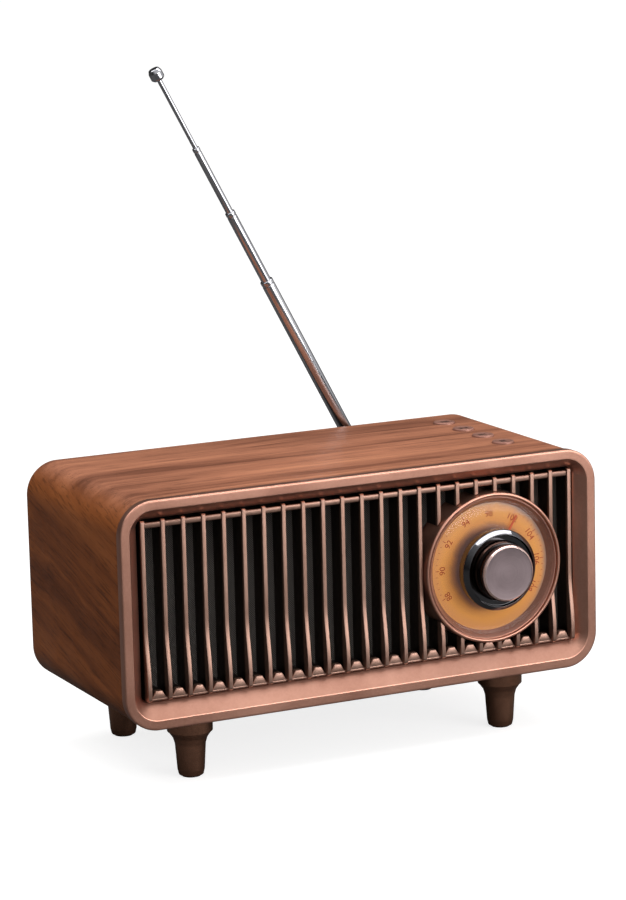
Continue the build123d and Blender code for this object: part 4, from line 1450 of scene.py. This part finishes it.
@dataclass
class Dial(SubAssembly):
    """Round tuning dial: rim, sloping ring, clear plate, and amber face with its scale."""

    rim_width: float = 1.35
    groove_side: float = 1.5
    groove_depth: float = 1.2
    seam: float = 1.9
    seam_gap: float = 0.02
    crest: float = 2.15
    crest_depth: float = 0.8
    mouth: float = 26.2
    mouth_depth: float = 3.95
    throat: float = 26.55
    throat_depth: float = 4.0
    hole: float = 8.6
    number_size: float = 3.6
    number_ring: float = 21.6
    tick_ring: float = 24.8
    ticks: int = 40
    long_every: int = 5
    long_tick: tuple[float, float] = (1.5, 0.28)
    short_tick: tuple[float, float] = (0.8, 0.18)
    numbers: tuple[str, ...] = ("88", "90", "92", "94", "98", "102", "104", "106", "108")
    ink_height: float = 0.05
    first_angle: float = -118.0
    last_angle: float = 118.0

    def place(self, front: float) -> Matrix:
        """Axis of the dial, with its local Z running back from a depth in metres."""
        spot = middle("dial_bezel")
        return Matrix.Translation((spot.x, front, spot.z)) @ Bench.facing

    def bezel(self) -> None:
        """Turn the rim, and inside its groove the sloping ring down to the face."""
        low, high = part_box("dial_bezel")
        outer = (high.x - low.x) / 2 / MM
        deep = (high.y - low.y) / MM
        rim_seam, cone_seam = outer - self.seam + self.seam_gap, outer - self.seam - self.seam_gap
        rim = [
            (outer, deep, 0), (outer, 0.0, 0.65), (outer - self.rim_width, 0.0, 0.55),
            (outer - self.groove_side, self.groove_depth, 0.1),
            (rim_seam, self.groove_depth, 0), (rim_seam, deep, 0),
        ]
        cone = [
            (cone_seam, deep, 0), (cone_seam, self.crest_depth, 0.12),
            (outer - self.crest, self.crest_depth, 0.12), (self.mouth, self.mouth_depth, 0.2),
            (self.throat, self.throat_depth, 0), (self.throat, deep, 0),
        ]
        rings = (("dial_bezel_ring", rim, Slot.COPPER), ("dial_bezel_cone", cone, Slot.BUTTON))
        for name, corners, slot in rings:
            path = softened(corners, steps=5, closed=True)
            ring = Bench.turned(name, path, self.place(low.y), ring=True, segments=144)
            self.fit(ring, "radio", slot, ["dial_bezel"])

    def plate(self, node: str, name: str, slot: Slot, edge: float) -> None:
        """Turn a flat ring of the dial in the place of a CAD node.

        Args:
            node: the CAD node.
            name: the piece's name.
            slot: the slot of its finish.
            edge: how far its edges are rounded.
        """
        low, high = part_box(node)
        outer = (high.x - low.x) / 2 / MM
        thick = (high.y - low.y) / MM
        corners = [
            (self.hole, 0, edge), (outer, 0, edge), (outer, thick, edge), (self.hole, thick, edge),
        ]
        path = softened(corners, 2, True)
        ring = Bench.turned(name, path, self.place(low.y), ring=True, segments=128)
        self.fit(ring, "radio", slot, [node])

    def mark(
        self, centre: Vector, angle: float, reach: float, length: float, width: float
    ) -> bpy.types.Object:
        """Draw one radial stroke of ink, a little narrower outwards.

        Args:
            centre: centre of the dial, in metres.
            angle: turn from upright, in degrees.
            reach: how far out its middle lies.
            length: how long it is.
            width: how wide it is at its inner end.

        Returns:
            The new stroke.
        """
        stroke = Bench.block((width, self.ink_height, length), (0, 0, reach))
        Bench.taper(stroke, lambda spot: spot.z > reach * MM, (0.8, 1, 1))
        around = Matrix.Rotation(math.radians(angle), 4, "Y")
        return Bench.settle(stroke, Matrix.Translation(centre) @ around)

    def number(self, text: str, centre: Vector, angle: float) -> bpy.types.Object:
        """Set one number of the scale, upright on its radius.

        Args:
            text: the number.
            centre: centre of the dial, in metres.
            angle: turn from upright, in degrees.

        Returns:
            The new number.
        """
        Bench.clear()
        bpy.ops.object.text_add(location=(0, 0, 0))
        label = bpy.context.object
        label.data.body = text
        label.data.align_x = "CENTER"
        label.data.align_y = "CENTER"
        label.data.size = self.number_size * MM
        label.data.extrude = self.ink_height / 2 * MM
        Bench.take(label)
        bpy.ops.object.convert(target="MESH")
        upright = Matrix.Rotation(math.pi / 2, 4, "X")
        around = Matrix.Rotation(math.radians(angle), 4, "Y")
        outwards = Matrix.Translation((0, 0, self.number_ring * MM))
        place = Matrix.Translation(centre) @ (around @ outwards) @ upright
        return Bench.settle(bpy.context.object, place)

    def angles(self, count: int) -> list[float]:
        """Angles of marks spread evenly over the scale, in degrees."""
        sweep = self.last_angle - self.first_angle
        return [self.first_angle + sweep * k / (count - 1) for k in range(count)]

    def scale(self) -> None:
        """Print a ring of ticks, and a ring of numbers inside it, on the amber face."""
        spot = middle("dial_scale")
        face = corner_low("dial_scale").y
        centre = Vector((spot.x, face - self.ink_height / 2 * MM, spot.z))
        strokes = []
        for k, angle in enumerate(self.angles(self.ticks + 1)):
            length, width = self.short_tick if k % self.long_every else self.long_tick
            reach = self.tick_ring - length / 2
            strokes.append(self.mark(centre, angle, reach, length, width))
        for text, angle in zip(self.numbers, self.angles(len(self.numbers))):
            strokes.append(self.number(text, centre, angle))
        marks = Bench.joined(strokes, "dial_scale_print")
        Bench.settle(marks)
        self.fit(marks, "radio", Slot.AMBER, (), self.finishes.ink)

    def build(self) -> None:
        """Model the dial from its rim inwards."""
        self.bezel()
        self.plate("dial_lens", "dial_clear_plate", Slot.LENS, 0.15)
        self.plate("dial_scale", "dial_amber_face", Slot.AMBER, 0.1)
        self.scale()


@dataclass
class Knob(SubAssembly):
    """Tuning knob: black chrome skirt, dark grip, satin cap, and the red pointer behind it."""

    needle_angle: float = 31.0
    needle_start: float = 8.8
    needle_reach: float = 23.3
    needle_width: float = 1.3
    needle_tip: float = 0.45
    collar: tuple[float, float] = (8.05, 9.2)

    def place(self) -> Matrix:
        """Axis of the knob, its local Z running back from the front of the frame."""
        spot = middle("dial_bezel")
        return Matrix.Translation((spot.x, corner_low("dial_bezel").y, spot.z)) @ Bench.facing

    def ring(
        self, name: str, corners: Sequence[RoundedPoint], slot: Slot, node: str, closed: bool,
        steps: int,
    ) -> None:
        """Turn a piece of the knob.

        Args:
            name: the piece's name.
            corners: its outline, as (radius, depth behind the frame's front, round).
            slot: the slot of its finish.
            node: the CAD node that it stands for.
            closed: whether the outline closes on itself, or else has flat ends.
            steps: faces in each round.
        """
        path = softened(corners, steps, closed)
        piece = Bench.turned(name, path, self.place(), ring=closed, segments=128)
        self.fit(piece, "tuning_knob", slot, [node])

    def pointer(self) -> None:
        """Make the tapered needle that grows out of a thin collar."""
        low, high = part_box("dial_pointer")
        spot = middle("dial_bezel")
        deep = (high.y - low.y) / MM
        inner, outer = self.collar
        path = softened([(inner, 0, 0), (outer, 0, 0.1), (outer, deep, 0.1), (inner, deep, 0)], 2, True)
        place = Matrix.Translation((spot.x, low.y, spot.z)) @ Bench.facing
        collar = Bench.turned("pointer_collar", path, place, ring=True, segments=96)
        half_out = (self.needle_start + self.needle_reach) / 2
        long = self.needle_reach - self.needle_start
        needle = Bench.block((self.needle_width, deep * 0.9, long), (0, 0, half_out))
        Bench.taper(needle, lambda at: at.z > half_out * MM, (self.needle_tip, 1, 1))
        Bench.bevel(needle, 0.08, 2, 40)
        turn = Matrix.Rotation(math.radians(self.needle_angle), 4, "Y")
        Bench.settle(needle, Matrix.Translation((spot.x, (low.y + high.y) / 2, spot.z)) @ turn)
        whole = Bench.joined([needle, collar], "red_needle")
        self.fit(whole, "tuning_knob", Slot.RED, ["dial_pointer"])

    def build(self) -> None:
        """Model the knob from its skirt forwards."""
        self.ring("knob_skirt_ring", [
            (3.1, 3.0, 0), (8.0, 3.0, 0.2), (8.0, 0.7, 0.3), (16.4, 0.7, 1.5), (16.65, -4.1, 0.9),
            (16.25, -4.55, 0), (15.05, -5.75, 0), (14.7, -6.1, 0.3), (14.4, -4.7, 0.2),
            (12.3, -4.7, 0.2), (12.1, -3.0, 0.2), (3.1, -3.0, 0),
        ], Slot.BLACK_CHROME, "knob_skirt", True, 8)
        self.ring("knob_grip_body", [
            (12.0, -3.0, 0), (12.0, -5.6, 0.3), (11.4, -6.2, 0.4), (11.4, -6.9, 0.3),
            (11.75, -7.4, 0.3), (11.75, -10.4, 0.35), (10.9, -10.4, 0),
        ], Slot.BRONZE, "knob_grip", False, 4)
        self.ring("knob_cap_face", [
            (10.9, -10.4, 0), (11.3, -10.5, 0.1), (11.3, -11.4, 0.12), (10.7, -12.0, 0.12),
            (10.5, -12.0, 0.05), (10.35, -11.85, 0.05), (6.0, -11.83, 0), (0.5, -11.83, 0),
        ], Slot.CAP, "knob_cap", False, 4)
        self.pointer()


# ------------------------------------------------------------------ buttons


@dataclass
class Buttons(SubAssembly):
    """Four round buttons in a row, each with a plain sign on its dished top."""

    radius: float = 4.5
    flange: float = 5.6
    flange_height: float = 0.9
    dish: float = 0.16
    dish_drop: float = 0.14
    dish_start: float = 0.9
    dish_edge: float = 1.3
    hub: float = 0.6
    sign_height: float = 0.06
    sign_size: float = 1.15
    stroke: float = 0.42
    bar_height: float = 2.0

    def arrow(self, x: float, size: float, way: float = 0.0) -> bpy.types.Object:
        """Make a flat triangle.

        Args:
            x: how far across its centre lies.
            size: its radius.
            way: 0 to point right, or pi to point left.

        Returns:
            The new triangle.
        """
        Bench.clear()
        bpy.ops.mesh.primitive_cylinder_add(
            vertices=3, radius=size * MM, depth=self.sign_height * MM,
            rotation=(0, 0, -math.pi / 2 + way),
        )
        piece = bpy.context.object
        Bench.settle(piece)
        return Bench.settle(piece, Matrix.Translation((x * MM, 0, 0)))

    def stripe(self, x: float, y: float, width: float, tall: float) -> bpy.types.Object:
        """Flat bar of a width and height about a point."""
        return Bench.block((width, tall, self.sign_height), (x, y, 0))

    def bar(self, x: float) -> bpy.types.Object:
        """Upright bar beside the arrows."""
        return self.stripe(x, 0, self.stroke, self.bar_height)

    def sign(self, kind: Sign) -> list[bpy.types.Object]:
        """Make the strokes of one sign, centred on the origin.

        Args:
            kind: the sign.

        Returns:
            Its strokes.
        """
        size = self.sign_size
        if kind is Sign.MODE:
            return [self.stripe(0, k * 0.9, 2.6, self.stroke) for k in (-1, 0, 1)]
        if kind is Sign.PLAY:
            return [self.arrow(-0.9, size * 1.15), self.bar(1.0), self.bar(1.8)]
        side, way = (-1, math.pi) if kind is Sign.PREVIOUS else (1, 0.0)
        arrows = [self.arrow(x * side, size, way) for x in (-0.75, 0.75)]
        return [*arrows, self.bar(1.75 * side)]

    def cap(self, kind: Sign) -> bpy.types.Object:
        """Turn one button's cap, with a flange below and a dished top.

        Args:
            kind: the sign of the button.

        Returns:
            The new cap, in place.
        """
        node = f"{kind.value}_button"
        low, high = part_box(node)
        spot = middle(node)
        tall = (high.z - low.z) / MM
        path = softened([
            (self.flange, 0, 0.1), (self.flange, self.flange_height, 0.2),
            (self.radius, self.flange_height, 0), (self.radius, tall, 0.45),
            (self.radius - self.dish_start, tall, 0.15),
            (self.radius - self.dish_edge, tall - self.dish_drop, 0.3),
            (self.hub, tall - self.dish, 0),
        ], steps=4)
        place = Matrix.Translation((spot.x, spot.y, low.z))
        return Bench.turned(f"{node}_cap", [(self.hub, 0), *path], place, segments=72)

    def build(self) -> None:
        """Model the four buttons and their signs."""
        for kind in Sign:
            node, body = f"{kind.value}_button", f"{kind.value}_key"
            self.fit(self.cap(kind), body, Slot.BUTTON, [node])
            spot = middle(node)
            height = corner_high(node).z - (self.dish - self.sign_height / 2) * MM
            mark = Bench.joined(self.sign(kind), f"{kind.value}_sign")
            Bench.settle(mark, Matrix.Translation((spot.x, spot.y, height)))
            self.fit(mark, body, Slot.BUTTON, (), self.finishes.icon)


# ------------------------------------------------------------------ feet


@dataclass
class Feet(SubAssembly):
    """Four turned bronze feet with a stepped collar, a hollow neck and a rubber tip."""

    def build(self) -> None:
        """Turn one foot and copy it to the four corners."""
        names = [f"foot_{end}_{side}" for end in ("front", "rear") for side in ("left", "right")]
        low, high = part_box(names[0])
        top = (high.z - low.z) / MM
        path = softened([
            (3.85, 1.0, 0), (3.85, 0.0, 0.1), (4.9, 0.0, 0.9), (5.45, 2.4, 0.8),
            (6.15, top - 13.2, 4.0), (6.9, top - 10.6, 3.0), (8.35, top - 8.6, 0.9),
            (8.55, top - 8.2, 0.15), (9.1, top - 8.0, 0.3), (9.2, top - 0.1, 0.25), (8.8, top, 0),
        ], steps=5)
        foot = Bench.turned("foot", path, Matrix.Translation((0, 0, low.z)), segments=96)
        spots = [middle(name) for name in names]
        feet = Bench.copies(foot, [Matrix.Translation((at.x, at.y, 0)) for at in spots])
        for name, twin in zip(names, feet):
            twin.name = f"{name}_turned"
            self.fit(twin, "radio", Slot.FOOT, [name])


# ------------------------------------------------------------------ antenna


@dataclass
class Antenna(SubAssembly):
    """Four chrome sections that slide in each other, on the folding elbow."""

    lean: float = 27.9
    reaches: tuple[float, ...] = (102.6, 33.9, 31.2, 32.6)
    radii: tuple[float, ...] = (2.8, 2.15, 1.6, 1.0)
    hidden: float = 58.0
    elbow_reach: float = 9.0
    play: float = 0.05
    groove: float = 0.14
    groove_low: float = 2.4
    groove_high: float = 1.5
    groove_slope: float = 0.2

    def tube(self, k: int, start: float, mouth: float) -> list[Point]:
        """Outline of a tube with a groove below its rolled mouth.

        Args:
            k: number of the section, from the elbow.
            start: height of its lower end.
            mouth: height of its mouth.

        Returns:
            The closed outline, as (radius, height).
        """
        radius, inner = self.radii[k], self.radii[k + 1] + self.play
        waist = radius - self.groove
        foot, head = mouth - self.groove_low, mouth - self.groove_high
        return softened([
            (inner, start, 0), (radius, start, 0.1), (radius, foot, 0.1),
            (waist, foot + self.groove_slope, 0.1), (waist, head - self.groove_slope, 0.1),
            (radius, head, 0.1), (radius, mouth, 0.28), (inner, mouth, 0.1),
        ], steps=3, closed=True)

    def build(self) -> None:
        """Model each tube with its rolled mouth, and the tip with its button."""
        pin = middle("antenna_pin")
        place = Matrix.Translation(pin) @ Matrix.Rotation(math.radians(-self.lean), 4, "Y")
        mouth = 0.0
        nodes = ("antenna_tube_base", "antenna_tube_middle", "antenna_tube_upper")
        bodies = ("antenna_arm", "antenna_stage_1", "antenna_stage_2")
        for k, (node, body) in enumerate(zip(nodes, bodies)):
            start = mouth - self.hidden if k else self.elbow_reach
            mouth += self.reaches[k]
            path = self.tube(k, start, mouth)
            tube = Bench.turned(f"{node}_chrome", path, place, ring=True, segments=48)
            self.fit(tube, body, Slot.CHROME, [node])
        low = mouth - self.hidden
        end = mouth + self.reaches[3]
        path = softened([
            (0.4, low, 0), (1.0, low, 0.1), (1.0, end, 0), (2.0, end + 0.05, 0.1),
            (2.9, end + 0.9, 0.6), (2.9, end + 3.6, 0.8), (2.2, end + 5.2, 0.6),
            (0.7, end + 5.35, 0.1),
        ], steps=5)
        rod = Bench.turned("antenna_tip_chrome", path, place, segments=48)
        self.fit(rod, "antenna_stage_3", Slot.CHROME, ["antenna_tip_rod"])


# ------------------------------------------------------------------ back


@dataclass
class BackScrews(SubAssembly):
    """Domed screws of the back cover, each with a cross recess."""

    head: float = 2.8
    height: float = 1.3
    slot_width: float = 0.75
    slot_reach: float = 1.6
    slot_depth: float = 0.8
    shank: float = 1.4
    shank_length: float = 8.9
    first_turn: float = 17.0
    next_turn: float = 31.0

    def blade(self, turn: float) -> bpy.types.Object:
        """Make the cutter for one stroke of the cross, narrower at its tip.

        Args:
            turn: turn about the screw's axis, in radians.

        Returns:
            The new cutter, in place.
        """
        size = (2 * self.slot_reach, self.slot_width, 2 * self.slot_depth)
        blade = Bench.block(size)
        tip = (0, 0, -self.slot_depth * MM)
        Bench.taper(blade, lambda spot: spot.z < 0, (0.45, 0.8, 1), tip)
        top = Matrix.Translation((0, 0, self.height * MM))
        return Bench.settle(blade, top @ Matrix.Rotation(turn, 4, "Z"))

    def build(self) -> None:
        """Turn one head, cut its cross and copy it to the four corners."""
        low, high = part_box("back_cover_screws")
        path = softened([
            (self.shank, -self.shank_length, 0), (self.shank, 0, 0), (self.head, 0, 0.1),
            (self.head, 0.45, 0.4), (self.head * 0.45, self.height, 0.9), (0.4, self.height, 0),
        ], steps=5)
        screw = Bench.turned("screw", path, Matrix.Identity(4), segments=48)
        for turn in (0.0, math.pi / 2):
            Bench.cut(screw, self.blade(turn))
        Bench.tidy(screw)
        edge = self.head * MM
        seat = high.y - self.height * MM
        corners = [
            (x, z) for x in (low.x + edge, high.x - edge) for z in (low.z + edge, high.z - edge)
        ]
        places = []
        for k, (x, z) in enumerate(corners):
            turn = Matrix.Rotation(math.radians(self.first_turn + self.next_turn * k), 4, "Z")
            places.append(Matrix.Translation((x, seat, z)) @ Bench.facing @ turn)
        whole = Bench.joined(Bench.copies(screw, places), "back_cover_screw_heads")
        self.fit(whole, "radio", Slot.BLACK_SCREW, ["back_cover_screws"])


# ------------------------------------------------------------------ studio


@dataclass
class Studio:
    """White sweep, soft light from the right and above, and the camera."""

    camera_place: tuple[float, float, float] = (-0.58815, -1.21609, 0.38277)
    right: tuple[float, float, float] = (0.89748, -0.44035, -0.02450)
    up: tuple[float, float, float] = (0.10611, 0.16169, 0.98116)
    back: tuple[float, float, float] = (-0.42810, -0.88318, 0.19184)
    lens: float = 135.64
    bright_side: tuple[float, float, float] = (0.45, -0.75, 0.48)
    fade: float = -0.14
    dim: float = 0.04
    lit: float = 0.94
    bounce: float = 0.10
    lift: float = 0.6
    glow: float = 1.35
    floor_radius: float = 40.0
    aim: tuple[float, float, float] = (0.0, 0.0, 0.08)

    def paper(self) -> bpy.types.Material:
        """Wire the white sweep, which returns little light, so the shaded sides stay dark.

        Returns:
            The sweep's material.
        """
        wiring = Wiring("studio_paper", Roughness=0.9)
        fibre = wiring.cloud(3, 5)
        wiring.colour(wiring.blend(fibre, srgb(250, 249, 248), srgb(255, 254, 253)))
        dull = wiring.add("BsdfDiffuse", {"Color": (self.bounce, self.bounce, self.bounce, 1.0)})
        seen = wiring.add("LightPath").outputs["Is Camera Ray"]
        glow = wiring.add("Emission", {"Color": (1.0, 1.0, 1.0, 1.0), "Strength": self.glow})
        shader = wiring.shader.outputs[0]
        pale = wiring.add("MixShader", {0: self.lift, 1: shader, 2: glow.outputs[0]})
        both = wiring.add("MixShader", {0: seen, 1: dull.outputs[0], 2: pale.outputs[0]})
        surface = wiring.tree.nodes["Material Output"].inputs["Surface"]
        wiring.tree.links.new(both.outputs[0], surface)
        return wiring.material

    def floor(self) -> None:
        """Lay the wide pale floor."""
        Bench.clear()
        bpy.ops.mesh.primitive_circle_add(
            vertices=128, radius=self.floor_radius, fill_type="NGON"
        )
        ground = bpy.context.object
        ground.name = "studio_floor"
        ground.data.materials.append(self.paper())

    def sun(self, name: str, towards: Sequence[float], strength: float, spread: float) -> None:
        """Far soft light.

        Args:
            name: name of the light.
            towards: the direction that it shines from.
            strength: how strong it is.
            spread: how wide it is, in degrees.
        """
        data = bpy.data.lights.new(name, "SUN")
        data.energy = strength
        data.angle = math.radians(spread)
        light = bpy.data.objects.new(name, data)
        light.rotation_euler = Vector(towards).to_track_quat("Z", "Y").to_euler()
        bpy.context.collection.objects.link(light)

    def panel(
        self, name: str, place: Sequence[float], size: tuple[float, float], power: float,
        turn: Optional[float] = None,
    ) -> None:
        """Soft box that faces the radio, or hangs level at a turn.

        Args:
            name: name of the light.
            place: centre of the box, in metres.
            size: length and width of the box, in metres.
            power: power in watts.
            turn: degrees about the vertical of a level box, or None for one that faces the radio.
        """
        data = bpy.data.lights.new(name, "AREA")
        data.shape = "RECTANGLE"
        data.size, data.size_y = size
        data.energy = power
        light = bpy.data.objects.new(name, data)
        light.location = place
        if turn is None:
            away = Vector(place) - Vector(self.aim)
            light.rotation_euler = away.to_track_quat("Z", "Y").to_euler()
        else:
            light.rotation_euler = (0.0, 0.0, math.radians(turn))
        bpy.context.collection.objects.link(light)

    def world(self) -> None:
        """Set white surroundings whose light falls off away from the bright side."""
        world = bpy.data.worlds.new("studio_world")
        bpy.context.scene.world = world
        world.use_nodes = True
        tree = world.node_tree
        way = add_node(tree, "TexCoord").outputs["Generated"]
        sides = {0: way, 1: self.bright_side}
        facing = add_node(tree, "VectorMath", sides, operation="DOT_PRODUCT").outputs["Value"]
        feeds = {
            "Value": facing, "From Min": self.fade, "From Max": 1.0, "To Min": self.dim,
            "To Max": self.lit,
        }
        glow = add_node(tree, "MapRange", feeds, interpolation_type="SMOOTHSTEP").outputs["Result"]
        seen = add_node(tree, "LightPath").outputs["Is Camera Ray"]
        strength = add_node(tree, "Mix", {0: seen, 2: glow, 3: 1.0}, data_type="FLOAT").outputs[0]
        backdrop = tree.nodes["Background"]
        backdrop.inputs["Color"].default_value = (1.0, 1.0, 1.0, 1.0)
        tree.links.new(strength, backdrop.inputs["Strength"])

    def camera(self) -> None:
        """Camera at its place, its axes given by its right, up and back directions."""
        data = bpy.data.cameras.new("camera")
        data.lens = self.lens
        data.sensor_width = 36.0
        data.clip_end = 200.0
        view = bpy.data.objects.new("camera", data)
        axes = Matrix((self.right, self.up, self.back)).transposed().to_4x4()
        view.matrix_world = Matrix.Translation(self.camera_place) @ axes
        bpy.context.collection.objects.link(view)
        bpy.context.scene.camera = view

    def build(self) -> None:
        """Set the stage."""
        self.floor()
        self.world()
        self.sun("key_light", (0.20, 0.10, 0.85), 0.5, 30)
        self.panel("top_box", (-0.45, 0.10, 1.05), (1.2, 0.6), 3.6)
        self.panel("strip_box", (0.36, -0.317, 1.05), (1.8, 0.10), 5.0, 16.2)
        self.panel("front_box", (0.6, -1.05, 0.3), (0.8, 0.5), 6.5)
        self.panel("side_box", (-1.0, 0.25, 1.1), (0.7, 0.7), 4.8)
        self.camera()
        bpy.context.scene.view_settings.view_transform = "Standard"


def main() -> None:
    """Build every sub-assembly in order and report its pieces."""
    logging.basicConfig(level=logging.INFO, format="%(message)s")
    finishes = Finishes()
    finishes.dress_frame()
    groups = [
        Cabinet(finishes), FrontFrame(finishes), Grille(finishes), SpeakerCloth(finishes),
        Dial(finishes), Knob(finishes), Buttons(finishes), Feet(finishes), Antenna(finishes),
        BackScrews(finishes),
    ]
    for group in groups:
        group.build()
        for piece in group.pieces:
            LOG.info("%s: %s, %d faces", type(group).__name__, piece.name, len(piece.data.polygons))
    Studio().build()


if __name__ == "__main__":
    main()
